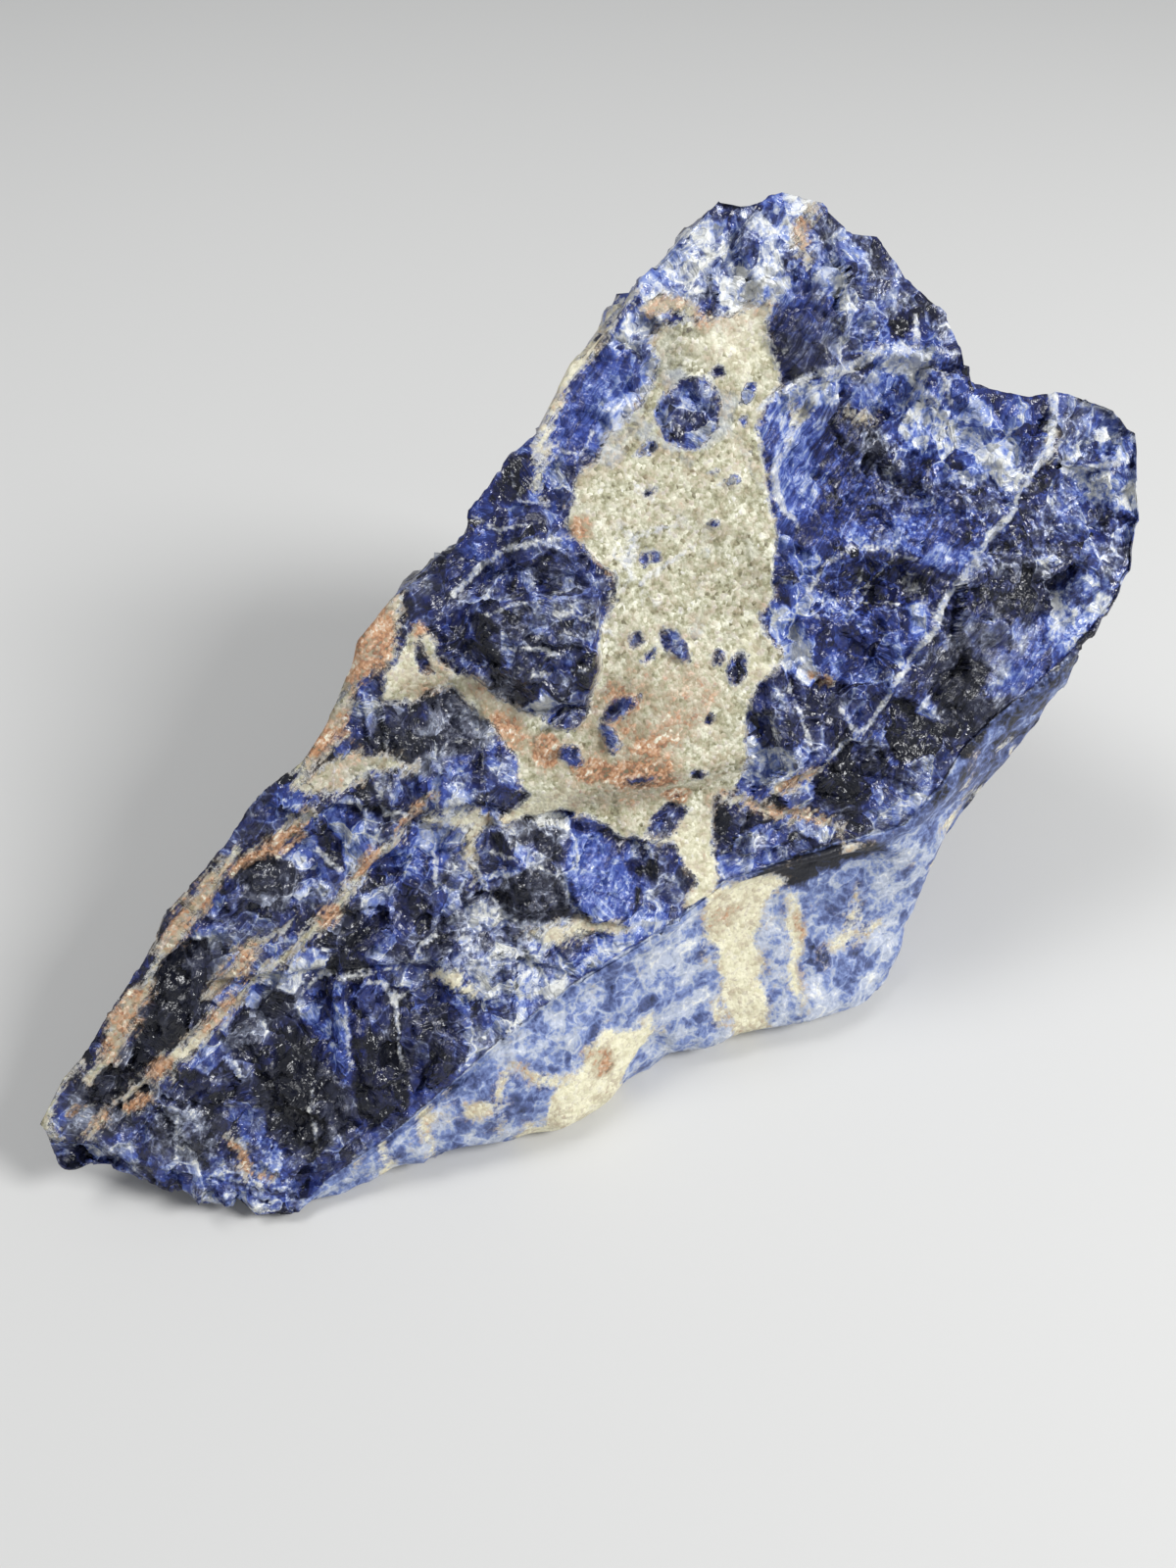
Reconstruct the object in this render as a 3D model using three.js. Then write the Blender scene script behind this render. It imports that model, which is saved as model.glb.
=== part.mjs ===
// Rough sodalite: one broken chunk that leans its large fracture face forward
// and rests on a small flat spot. Millimetres, +Z up, the long axis along +X,
// the origin under the middle of the bounding box.
//
// The stone is one closed skin in three stretches: the fracture face, a flank
// that runs from the face's rim down and under, and the flat spot it rests on.

import * as THREE from 'three';

// ---------- How the fracture face stands ----------
const FACE_CENTRE = new THREE.Vector3(-4.8, -19.3, 46.3);
const FACE_TILT = 49.8; // degrees from lying flat
const FACE_TURN = 16.4; // degrees that it looks past the front, to the left
const FACE_ROLL = 25.2; // degrees that its long axis climbs, within the face

// ---------- The face's rim, [along, up] in the plane of the face ----------
// Clockwise: left tip, upper edge, top, right edge, right end, crest, foot.
const UPPER_EDGE = [
  [-82, -6.5], [-76, -3], [-72.5, -2], [-66, 1.5], [-55.5, 6], [-53, 8],
  [-41.5, 12], [-35.5, 15], [-27, 16], [-18.5, 20], [-14.5, 22.5], [-12.5, 25],
  [-6, 27.5], [1.5, 28.5], [5.5, 29.5], [8.5, 32.5], [16, 35.5], [20.5, 36],
  [28.5, 41], [35.5, 43], [41.5, 45.5], [49, 47], [54.5, 49],
];
const RIGHT_EDGE = [
  [54.5, 49], [57.5, 46.5], [62, 45.5], [66, 42], [66.5, 37.5], [70, 35],
  [71, 28.5], [73.5, 22.5], [73.5, 18], [72.5, 12], [78.5, 7.5], [82.5, 6],
  [88.5, 0.5], [89.5, -4], [88.5, -6.5],
];
const CREST = [
  [88.5, -6.5], [87, -10], [85, -14.5], [81, -20], [77.5, -22.5], [73, -25],
  [66, -26.5], [56, -28], [49, -30], [44.5, -33], [37, -35], [29.5, -33],
  [20, -30.5], [12, -28.5], [3, -29.5], [-12.5, -29.5], [-27.5, -31],
  [-41.5, -33.5], [-54.5, -34.5], [-61, -36],
];
const FOOT_EDGE = [
  [-61, -36], [-66, -33], [-67.5, -26.5], [-69, -23.5], [-76, -17.5],
  [-77.5, -13], [-81.5, -10], [-82, -6.5],
];
const FACE_LENGTH = 150;
const FACE_WIDTH = 55;

// ---------- The flank, from the rim down to the resting spot ----------
// Each station starts at a place on the rim (edge 0 to 3, share of its length)
// and gives four points below it: shoulder, waist, hem, resting spot.
const STATIONS = [
  { edge: 0, share: 0, points: [[-80, -24.5, 11], [-78, -25, 8], [-68, -22, 3.5], [-56, -26, 0]] },
  { edge: 0, share: 0.25, points: [[-50, -8, 27], [-46, -2, 15], [-40, -4, 5], [-32, -14, 0]] },
  { edge: 0, share: 0.5, points: [[-18, 8, 42], [-13, 19, 22], [-9, 16, 7], [-6, 4, 0]] },
  { edge: 0, share: 0.75, points: [[14, 21, 61], [19, 36, 33], [20, 30, 9], [18, 14, 0]] },
  { edge: 1, share: 0, points: [[38, 32, 78], [42, 46, 44], [42, 40, 11], [34, 17, 0]] },
  { edge: 1, share: 0.33, points: [[56, 20, 74], [60, 36, 42], [56, 29, 11], [44, 11, 0]] },
  { edge: 1, share: 0.66, points: [[66, 4, 64], [68, 16, 36], [60, 12, 9], [49, 0, 0]] },
  { edge: 2, share: 0, points: [[78, -14, 54], [70, -6, 30], [61, -6, 8], [50, -12, 0]] },
  { edge: 2, share: 0.12, points: [[74, -28, 46], [67, -19, 26], [58, -15, 7], [49, -18, 0]] },
  { edge: 2, share: 0.19, points: [[69, -34.5, 46], [66, -27, 27], [56, -19, 6], [48, -22, 0]] },
  { edge: 2, share: 0.25, points: [[65.5, -36, 38], [62, -33, 25], [54, -25, 6], [47, -26, 0]] },
  { edge: 2, share: 0.37, points: [[53, -39, 29], [50, -39.5, 18], [46, -38, 6], [43, -34, 0]] },
  { edge: 2, share: 0.44, points: [[43, -42.5, 26], [42.5, -44, 13], [40, -47, 2.5], [38, -42, 0]] },
  { edge: 2, share: 0.51, points: [[29, -38.5, 27], [28, -44, 14], [28, -50.5, 4], [27, -43, 0]] },
  { edge: 2, share: 0.6, points: [[13.5, -38, 25], [13, -42.5, 13], [12, -46.5, 4.5], [13, -41, 0]] },
  { edge: 2, share: 0.68, points: [[0.5, -40.5, 20], [0, -44, 11], [-0.5, -45, 1.5], [0, -41, 0]] },
  { edge: 2, share: 0.77, points: [[-14, -43, 16], [-15, -47, 9], [-15, -47.5, 2], [-15, -43, 0]] },
  { edge: 2, share: 0.86, points: [[-29, -43.5, 11], [-30, -45.5, 7], [-31, -45.5, 4], [-29, -41, 0]] },
  { edge: 2, share: 0.94, points: [[-41.5, -44, 6], [-42, -44.2, 4], [-42, -44, 2.5], [-40, -39, 0]] },
  { edge: 3, share: 0, points: [[-53.5, -43.5, 1.8], [-53.5, -43.5, 1.4], [-53, -43, 1], [-51, -41, 0]] },
  { edge: 3, share: 0.4, points: [[-65.5, -36.5, 5.5], [-64.5, -36, 3.5], [-61, -33, 2], [-56, -31, 0]] },
  { edge: 3, share: 0.7, points: [[-75, -30.5, 7], [-74, -30, 4.5], [-67, -27, 2], [-58, -28, 0]] },
];

// Flat breaks that chip the flank: the way each one looks, and how far it lies
// from the origin.
const BREAKS = [
  { towards: [-0.5, 0.8, 0.35], at: 32 },
  { towards: [-0.1, 0.97, 0.2], at: 40 },
  { towards: [0.25, 0.9, 0.35], at: 58 },
  { towards: [0.6, 0.8, 0.1], at: 57 },
  { towards: [0.5, 0.7, 0.5], at: 80 },
  { towards: [0.9, 0.1, -0.4], at: 50 },
  { towards: [0, 0.8, -0.6], at: 18 },
  { towards: [0.5, 0.6, -0.6], at: 31 },
  { towards: [-0.4, 0.8, -0.45], at: 10 },
];

// ---------- Relief of the fracture face, places in the plane of the face ----------
// A bowl sinks by depth at its middle and ends in a crisp rim.
const BOWLS = [
  { at: [58, 9], half: [15, 12], turn: -35, depth: 3.5 },
  { at: [49, -3], half: [8, 4.5], turn: -32, depth: 1.8 },
  { at: [7, 27], half: [7, 4], turn: 30, depth: 2.5 },
  { at: [-10, 12], half: [8, 6], turn: 20, depth: 1.6 },
  { at: [29, 4], half: [11, 18], turn: 20, depth: 1.2 },
];
// A lump is a smooth rise.
const LUMPS = [
  { at: [-15, 20], half: [9, 5], turn: 35, height: 2.6 },
  { at: [-30, 10], half: [9, 6], turn: 20, height: 1.6 },
  { at: [60, 33], half: [10, 9], turn: 0, height: 2 },
  { at: [44, 38], half: [9, 7], turn: 0, height: 1.2 },
  { at: [-62, -14], half: [16, 9], turn: 30, height: 2 },
  { at: [40, -26], half: [16, 7], turn: -10, height: 1.6 },
];
// A ledge drops to the right of its line, and the ground comes back over reach.
const LEDGES = [
  { line: [[50, 24], [57, 23.5], [63, 22.5], [72, 17]], drop: 2.6, ramp: 1.6, reach: 18 },
  { line: [[-17, 3], [-8, 0], [2, -6], [12, -10], [24, -14]], drop: 3.2, ramp: 5, reach: 22 },
  { line: [[-52, -2], [-40, -8], [-28, -15]], drop: 2.2, ramp: 1.4, reach: 18 },
  { line: [[26, -20], [38, -18], [49, -14], [62, -8], [73, -2], [80, 5]], drop: 2.4, ramp: 9, reach: 60 },
  { line: [[41, 2], [34, -8], [30, -18]], drop: -1.6, ramp: 2, reach: 10 },
];
// A block is a flat crystal facet that stands out by height and leans by slope.
const BLOCKS = [
  { outline: [[2.5, 23], [12, 19], [17.5, 15], [12.5, 6], [8, 2.5], [2, 6], [-1.5, 19]],
    height: 2.4, slope: [0.06, -0.1], edge: 1.6 },
  { outline: [[-10.5, -4.5], [0, -11], [4, -18], [4.5, -28], [-15.5, -16.5]],
    height: 1.8, slope: [-0.1, 0.05], edge: 1.4 },
  { outline: [[-27, 7], [-20, 3], [-22, -3], [-30, 0]], height: 1.5, slope: [0.12, 0.1], edge: 1.4 },
  { outline: [[-40, -9], [-34, -13], [-42, -28], [-48, -24]], height: 1.8, slope: [0.1, 0.04], edge: 1.2 },
  { outline: [[-54, -11], [-48, -13], [-50, -30], [-56, -28]], height: 1.4, slope: [-0.1, 0], edge: 1.2 },
  { outline: [[51, 32], [60, 31], [62, 25], [52, 25]], height: 1.6, slope: [-0.1, 0.12], edge: 1.4 },
];

// ---------- Relief all over ----------
// Cleaved crystals: mm across one, how steeply its facet may lean, and mm
// between neighbouring facets. The back is chipped as well.
const CRYSTALS = { size: 9.5, lean: 0.22, step: 1.1, salt: 10 };
const CHIPS = { size: 25, lean: 0.16, step: 1.8, salt: 30 };
const WAVES = [{ length: 31, height: 1.3 }, { length: 12, height: 0.7 }];
const RIM_SHARE = 0.3; // share of the relief that is left on the rim
const RIM_WIDTH = 6; // mm over which the rest comes in
const SMOOTH_FLANK = [2.4, 3.1]; // the front of the flank, counted in edges
const SMOOTH_SHARE = 0.35; // share of the crystals there
const TIP_REACH = 0.2; // the thin left tip, in edges, where the flank is calm

// ---------- Mesh ----------
const STEPS_LONG = 56;
const STEPS_SHORT = 26;
const FLANK_RINGS = [0.22, 0.44, 0.66, 0.88, 1.1, 1.35, 1.6, 1.85, 2.1, 2.35, 2.6, 2.85, 3.1, 3.4, 3.7, 4];

const DEGREE = Math.PI / 180;
const clamp = THREE.MathUtils.clamp;
const smoothstep = THREE.MathUtils.smoothstep;

// ---------- Axes of the face ----------
function faceAxes() {
  const turn = FACE_TURN * DEGREE;
  const tilt = FACE_TILT * DEGREE;
  const roll = FACE_ROLL * DEGREE;
  const level = new THREE.Vector3(Math.cos(turn), -Math.sin(turn), 0);
  const out = new THREE.Vector3(
    -Math.sin(turn) * Math.sin(tilt),
    -Math.cos(turn) * Math.sin(tilt),
    Math.cos(tilt),
  );
  const climb = new THREE.Vector3().crossVectors(out, level);
  const along = level.multiplyScalar(Math.cos(roll)).addScaledVector(climb, Math.sin(roll));
  const up = new THREE.Vector3().crossVectors(out, along);
  return { along, up, out };
}

const AXES = faceAxes();

function fromFace(place) {
  return FACE_CENTRE.clone().addScaledVector(AXES.along, place.x).addScaledVector(AXES.up, place.y);
}

// ---------- The rim ----------
function pathOf(corners) {
  const path = new THREE.CurvePath();
  for (let i = 1; i < corners.length; i += 1) {
    const from = new THREE.Vector2(...corners[i - 1]);
    const to = new THREE.Vector2(...corners[i]);
    path.add(new THREE.LineCurve(from, to));
  }
  return path;
}

const EDGES = [UPPER_EDGE, RIGHT_EDGE, CREST, FOOT_EDGE].map(pathOf);

function rimPoint(edge, share) {
  return EDGES[edge].getPoint(share);
}

// ---------- The face: a blend between its four edges (a Coons patch) ----------
// u runs from the foot edge (0) to the right edge (1), v from the crest (0)
// to the upper edge (1).
function facePoint(u, v) {
  const corners = new THREE.Vector2()
    .addScaledVector(rimPoint(2, 1), (1 - u) * (1 - v))
    .addScaledVector(rimPoint(2, 0), u * (1 - v))
    .addScaledVector(rimPoint(0, 0), (1 - u) * v)
    .addScaledVector(rimPoint(0, 1), u * v);
  return new THREE.Vector2()
    .addScaledVector(rimPoint(2, 1 - u), 1 - v)
    .addScaledVector(rimPoint(0, u), v)
    .addScaledVector(rimPoint(3, v), 1 - u)
    .addScaledVector(rimPoint(1, 1 - v), u)
    .sub(corners);
}

// ---------- The flank: curves through the stations' points ----------
// Each loop is a closed curve through one point of every station.
const LOOPS = [0, 1, 2, 3].map((level) => {
  const points = STATIONS.map((station) => new THREE.Vector3(...station.points[level]));
  return new THREE.CatmullRomCurve3(points, true, 'catmullrom');
});
const STARTS = STATIONS.map((station) => station.edge + station.share).concat(EDGES.length);

// Where a place on the rim, counted in edges, falls between the stations.
function loopShare(place) {
  const next = STARTS.findIndex((start) => start > place);
  const last = next - 1;
  const share = (place - STARTS[last]) / (STARTS[next] - STARTS[last]);
  return (last + share) / STATIONS.length;
}

// The curve down the flank at one place on the rim.
function flankCurve(place) {
  const edge = Math.floor(place);
  const rim = fromFace(rimPoint(edge, place - edge));
  const below = LOOPS.map((loop) => loop.getPoint(loopShare(place)));
  return { place, curve: new THREE.CatmullRomCurve3([rim, ...below], false, 'catmullrom') };
}

// ---------- Chance that is the same on every run ----------
function chance(i, j, k, salt) {
  const wave = Math.sin(i * 127.1 + j * 311.7 + k * 74.7 + salt * 53.3) * 43758.5453;
  return wave - Math.floor(wave);
}

// Smooth noise from -1 to 1 between the corners of a lattice of unit cubes.
function noise(x, y, z, salt) {
  const cell = [x, y, z].map(Math.floor);
  const ease = [x, y, z].map((value, axis) => smoothstep(value - cell[axis], 0, 1));
  let sum = 0;
  for (let corner = 0; corner < 8; corner += 1) {
    const step = [corner & 1, (corner >> 1) & 1, corner >> 2];
    const weight = step.reduce((w, s, axis) => w * (s ? ease[axis] : 1 - ease[axis]), 1);
    sum += weight * chance(cell[0] + step[0], cell[1] + step[1], cell[2] + step[2], salt);
  }
  return 2 * sum - 1;
}

// ---------- Relief all over ----------
function waves(point) {
  return WAVES.reduce((sum, { length, height }, salt) => (
    sum + height * noise(point.x / length, point.y / length, point.z / length, salt)
  ), 0);
}

// Facets of cleaved crystals: each point lies on the leaning facet of its
// nearest crystal, whose middle is anywhere in its cell of a lattice.
function facets(point, { size, lean, step, salt }) {
  const home = point.clone().divideScalar(size).floor();
  let nearest = Infinity;
  let height = 0;
  for (let n = 0; n < 27; n += 1) {
    const i = home.x + (n % 3) - 1;
    const j = home.y + (Math.floor(n / 3) % 3) - 1;
    const k = home.z + Math.floor(n / 9) - 1;
    const chances = [0, 1, 2, 3, 4, 5, 6].map((more) => chance(i, j, k, salt + more));
    const middle = new THREE.Vector3(i + chances[0], j + chances[1], k + chances[2]);
    const offset = point.clone().addScaledVector(middle, -size);
    if (offset.length() < nearest) {
      nearest = offset.length();
      const way = new THREE.Vector3(...chances.slice(3, 6)).multiplyScalar(2).subScalar(1);
      height = lean * offset.dot(way) + step * (chances[6] - 0.5);
    }
  }
  return height;
}

// ---------- Relief of the fracture face ----------
// Squared distance from the middle of an ellipse, 1 on its outline.
function ellipse(p, q, { at, half, turn }) {
  const angle = turn * DEGREE;
  const x = (p - at[0]) * Math.cos(angle) + (q - at[1]) * Math.sin(angle);
  const y = (q - at[1]) * Math.cos(angle) - (p - at[0]) * Math.sin(angle);
  return (x / half[0]) ** 2 + (y / half[1]) ** 2;
}

function bowl(p, q, shape) {
  return -shape.depth * Math.max(0, 1 - ellipse(p, q, shape));
}

function lump(p, q, shape) {
  return shape.height * Math.max(0, 1 - ellipse(p, q, shape)) ** 2;
}

// The nearest stretch of a line: how far off, how far to its right.
function besideLine(p, q, line) {
  let best = { away: Infinity, right: 0 };
  for (let i = 1; i < line.length; i += 1) {
    const [x, y] = line[i - 1];
    const dx = line[i][0] - x;
    const dy = line[i][1] - y;
    const length = Math.hypot(dx, dy);
    const share = clamp(((p - x) * dx + (q - y) * dy) / length ** 2, 0, 1);
    const away = Math.hypot(p - x - share * dx, q - y - share * dy);
    const right = ((p - x) * dy - (q - y) * dx) / length;
    if (away < best.away) best = { away, right };
  }
  return best;
}

// Past the line's ends away is more than right, so the drop fades out there.
function ledge(p, q, { line, drop, ramp, reach }) {
  const { away, right } = besideLine(p, q, line);
  const fade = clamp(1 - (away - Math.abs(right)) / ramp, 0, 1);
  return -drop * smoothstep(right, 0, ramp) * clamp(1 - right / reach, 0, 1) * fade;
}

// The least distance inside the sides of a convex outline drawn clockwise.
function block(p, q, { outline, height, slope, edge }) {
  let inside = Infinity;
  outline.forEach(([x, y], i) => {
    const [nextX, nextY] = outline[(i + 1) % outline.length];
    const length = Math.hypot(nextX - x, nextY - y);
    inside = Math.min(inside, ((p - x) * (nextY - y) - (q - y) * (nextX - x)) / length);
  });
  const lean = slope[0] * (p - outline[0][0]) + slope[1] * (q - outline[0][1]);
  return (height + lean) * clamp(inside / edge, 0, 1);
}

function faceRelief(p, q) {
  const add = (shapes, rise) => shapes.reduce((sum, shape) => sum + rise(p, q, shape), 0);
  return add(BOWLS, bowl) + add(LUMPS, lump) + add(LEDGES, ledge) + add(BLOCKS, block);
}

// ---------- Vertices ----------
// Every vertex has its point and its relief in mm.
function faceVertex(i, j) {
  const u = i / STEPS_LONG;
  const v = j / STEPS_SHORT;
  const place = facePoint(u, v);
  const point = fromFace(place);
  const rim = Math.min(Math.min(u, 1 - u) * FACE_LENGTH, Math.min(v, 1 - v) * FACE_WIDTH);
  const share = RIM_SHARE + (1 - RIM_SHARE) * smoothstep(rim, 0, RIM_WIDTH);
  const relief = faceRelief(place.x, place.y) + waves(point) + facets(point, CRYSTALS);
  return { point, relief: relief * share };
}

// The flank's front is smooth, and its back and ends are chipped.
function roughness(place) {
  const [from, to] = SMOOTH_FLANK;
  return smoothstep(from - place, 0, 0.2) + smoothstep(place - to, 0, 0.2);
}

// Relief fades in below the rim and out again towards the flat spot.
function flankVertex({ place, curve }, ring) {
  const point = broken(curve.getPoint(ring / LOOPS.length));
  const rough = roughness(place);
  const crystals = (SMOOTH_SHARE + (1 - SMOOTH_SHARE) * rough) * facets(point, CRYSTALS);
  const relief = waves(point) + crystals + rough * facets(point, CHIPS);
  const share = RIM_SHARE + (1 - RIM_SHARE) * smoothstep(ring, 0, 0.7);
  const spot = 1 - smoothstep(ring, 3, LOOPS.length);
  const tip = smoothstep(Math.min(place, EDGES.length - place), 0, TIP_REACH);
  return { point, relief: relief * share * spot * tip };
}

// Whatever stands out past a break is brought back onto it.
function broken(point) {
  for (const { towards, at } of BREAKS) {
    const way = new THREE.Vector3(...towards).normalize();
    point.addScaledVector(way, -Math.max(0, point.dot(way) - at));
  }
  point.z = Math.max(point.z, 0);
  return point;
}

// The rim's vertices in order, as steps (i, j) of the face.
function rimSteps() {
  const steps = [];
  for (let i = 0; i < STEPS_LONG; i += 1) steps.push([i, STEPS_SHORT]);
  for (let j = STEPS_SHORT; j > 0; j -= 1) steps.push([STEPS_LONG, j]);
  for (let i = STEPS_LONG; i > 0; i -= 1) steps.push([i, 0]);
  for (let j = 0; j < STEPS_SHORT; j += 1) steps.push([0, j]);
  return steps;
}

// The same places counted in edges, from 0 at the left tip to 4 back at it.
function rimPlaces() {
  const counts = [STEPS_LONG, STEPS_SHORT, STEPS_LONG, STEPS_SHORT];
  return counts.flatMap((count, edge) => Array.from({ length: count }, (_, n) => edge + n / count));
}

function stoneVertices() {
  const vertices = [];
  for (let j = 0; j <= STEPS_SHORT; j += 1) {
    for (let i = 0; i <= STEPS_LONG; i += 1) vertices.push(faceVertex(i, j));
  }
  const curves = rimPlaces().map(flankCurve);
  for (const ring of FLANK_RINGS) {
    for (const curve of curves) vertices.push(flankVertex(curve, ring));
  }
  vertices.push({ point: spotMiddle(), relief: 0 });
  return vertices;
}

function spotMiddle() {
  const spot = STATIONS.map((station) => new THREE.Vector3(...station.points[3]));
  return spot.reduce((sum, point) => sum.add(point), new THREE.Vector3()).divideScalar(spot.length);
}

// ---------- Triangles ----------
function quad(triangles, a, b, c, d) {
  triangles.push(a, b, c, a, c, d);
}

function stoneTriangles() {
  const triangles = [];
  const row = STEPS_LONG + 1;
  for (let j = 0; j < STEPS_SHORT; j += 1) {
    for (let i = 0; i < STEPS_LONG; i += 1) {
      const corner = j * row + i;
      quad(triangles, corner, corner + 1, corner + row + 1, corner + row);
    }
  }
  const rim = rimSteps().map(([i, j]) => j * row + i);
  const first = row * (STEPS_SHORT + 1);
  const rings = FLANK_RINGS.map((_, ring) => rim.map((__, n) => first + ring * rim.length + n));
  const middle = first + FLANK_RINGS.length * rim.length;
  let outer = rim;
  for (const inner of rings) {
    inner.forEach((vertex, n) => {
      const next = (n + 1) % rim.length;
      quad(triangles, outer[n], outer[next], inner[next], vertex);
    });
    outer = inner;
  }
  outer.forEach((vertex, n) => triangles.push(vertex, outer[(n + 1) % rim.length], middle));
  return triangles;
}

// ---------- The stone ----------
function stoneGeometry() {
  const vertices = stoneVertices();
  const geometry = new THREE.BufferGeometry().setFromPoints(vertices.map(({ point }) => point));
  geometry.setIndex(stoneTriangles());
  geometry.computeVertexNormals();
  const position = geometry.getAttribute('position');
  const normal = geometry.getAttribute('normal');
  vertices.forEach(({ relief }, n) => {
    const z = position.getZ(n) + relief * normal.getZ(n);
    position.setX(n, position.getX(n) + relief * normal.getX(n));
    position.setY(n, position.getY(n) + relief * normal.getY(n));
    position.setZ(n, Math.max(z, 0));
  });
  return centred(geometry);
}

// Moved so that the middle of the bounding box is over the origin.
function centred(geometry) {
  geometry.computeBoundingBox();
  const middle = geometry.boundingBox.getCenter(new THREE.Vector3());
  geometry.translate(-middle.x, -middle.y, 0);
  geometry.computeVertexNormals();
  return geometry;
}

function sodalite() {
  const stone = new THREE.MeshStandardMaterial({ color: 0x1d2b6b, roughness: 0.45, metalness: 0 });
  const mesh = new THREE.Mesh(stoneGeometry(), stone);
  mesh.name = 'sodalite';
  return mesh;
}

const part = new THREE.Group();
part.add(sodalite());

export default part;
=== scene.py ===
"""Rough sodalite: a broken chunk of blue crystals with a grey-cream vein and orange stains.

The chunk is one closed skin worked out with numpy on the same form as its CAD solid: the
fracture face, the flank that runs from the face's rim down and under, and the flat spot that
it rests on. Lengths inside the form's functions are millimetres.
"""

import math
from types import SimpleNamespace

import bpy
import numpy as np
from bpy.props import FloatProperty, FloatVectorProperty, PointerProperty
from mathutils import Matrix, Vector


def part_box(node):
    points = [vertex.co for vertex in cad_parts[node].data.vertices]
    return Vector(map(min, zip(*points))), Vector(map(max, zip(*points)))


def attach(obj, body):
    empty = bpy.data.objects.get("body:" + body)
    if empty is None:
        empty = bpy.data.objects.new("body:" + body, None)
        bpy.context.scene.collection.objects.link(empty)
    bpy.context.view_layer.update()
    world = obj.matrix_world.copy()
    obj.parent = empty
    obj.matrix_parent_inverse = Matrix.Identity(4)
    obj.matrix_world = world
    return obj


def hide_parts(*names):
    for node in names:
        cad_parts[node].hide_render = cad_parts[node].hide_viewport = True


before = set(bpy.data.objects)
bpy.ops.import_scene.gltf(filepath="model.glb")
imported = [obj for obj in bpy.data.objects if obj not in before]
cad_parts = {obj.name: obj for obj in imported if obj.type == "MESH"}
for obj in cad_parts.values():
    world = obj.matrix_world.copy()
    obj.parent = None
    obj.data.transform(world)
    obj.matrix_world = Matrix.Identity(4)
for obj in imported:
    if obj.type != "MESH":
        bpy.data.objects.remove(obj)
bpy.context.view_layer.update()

bl_info = {
    "name": "Rough sodalite",
    "version": (1, 0, 0),
    "blender": (4, 5, 0),
    "location": "3D View > Sidebar > Sodalite",
    "description": "A broken chunk of sodalite and a plain stage to show it on",
    "category": "Add Mesh",
}

MILLIMETRE = 0.001

# ---------- How the fracture face stands ----------
FACE_CENTRE = np.array((-4.8, -19.3, 46.3))
FACE_TILT = 49.8  # degrees from lying flat
FACE_TURN = 16.4  # degrees that it looks past the front, to the left
FACE_ROLL = 25.2  # degrees that its long axis climbs, within the face

# ---------- The face's rim, (along, up) in the plane of the face ----------
# Clockwise: left tip, upper edge, top, right edge, right end, crest, foot.
UPPER_EDGE = (
    (-82, -6.5), (-76, -3), (-72.5, -2), (-66, 1.5), (-55.5, 6), (-53, 8),
    (-41.5, 12), (-35.5, 15), (-27, 16), (-18.5, 20), (-14.5, 22.5), (-12.5, 25),
    (-6, 27.5), (1.5, 28.5), (5.5, 29.5), (8.5, 32.5), (16, 35.5), (20.5, 36),
    (28.5, 41), (35.5, 43), (41.5, 45.5), (49, 47), (54.5, 49),
)
RIGHT_EDGE = (
    (54.5, 49), (57.5, 46.5), (62, 45.5), (66, 42), (66.5, 37.5), (70, 35),
    (71, 28.5), (73.5, 22.5), (73.5, 18), (72.5, 12), (78.5, 7.5), (82.5, 6),
    (88.5, 0.5), (89.5, -4), (88.5, -6.5),
)
CREST = (
    (88.5, -6.5), (87, -10), (85, -14.5), (81, -20), (77.5, -22.5), (73, -25),
    (66, -26.5), (56, -28), (49, -30), (44.5, -33), (37, -35), (29.5, -33),
    (20, -30.5), (12, -28.5), (3, -29.5), (-12.5, -29.5), (-27.5, -31),
    (-41.5, -33.5), (-54.5, -34.5), (-61, -36),
)
FOOT_EDGE = (
    (-61, -36), (-66, -33), (-67.5, -26.5), (-69, -23.5), (-76, -17.5),
    (-77.5, -13), (-81.5, -10), (-82, -6.5),
)
EDGES = (UPPER_EDGE, RIGHT_EDGE, CREST, FOOT_EDGE)
# Roughly the face's length and width in mm, to turn shares of the way across it into lengths.
FACE_LENGTH = 150
FACE_WIDTH = 55

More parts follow.
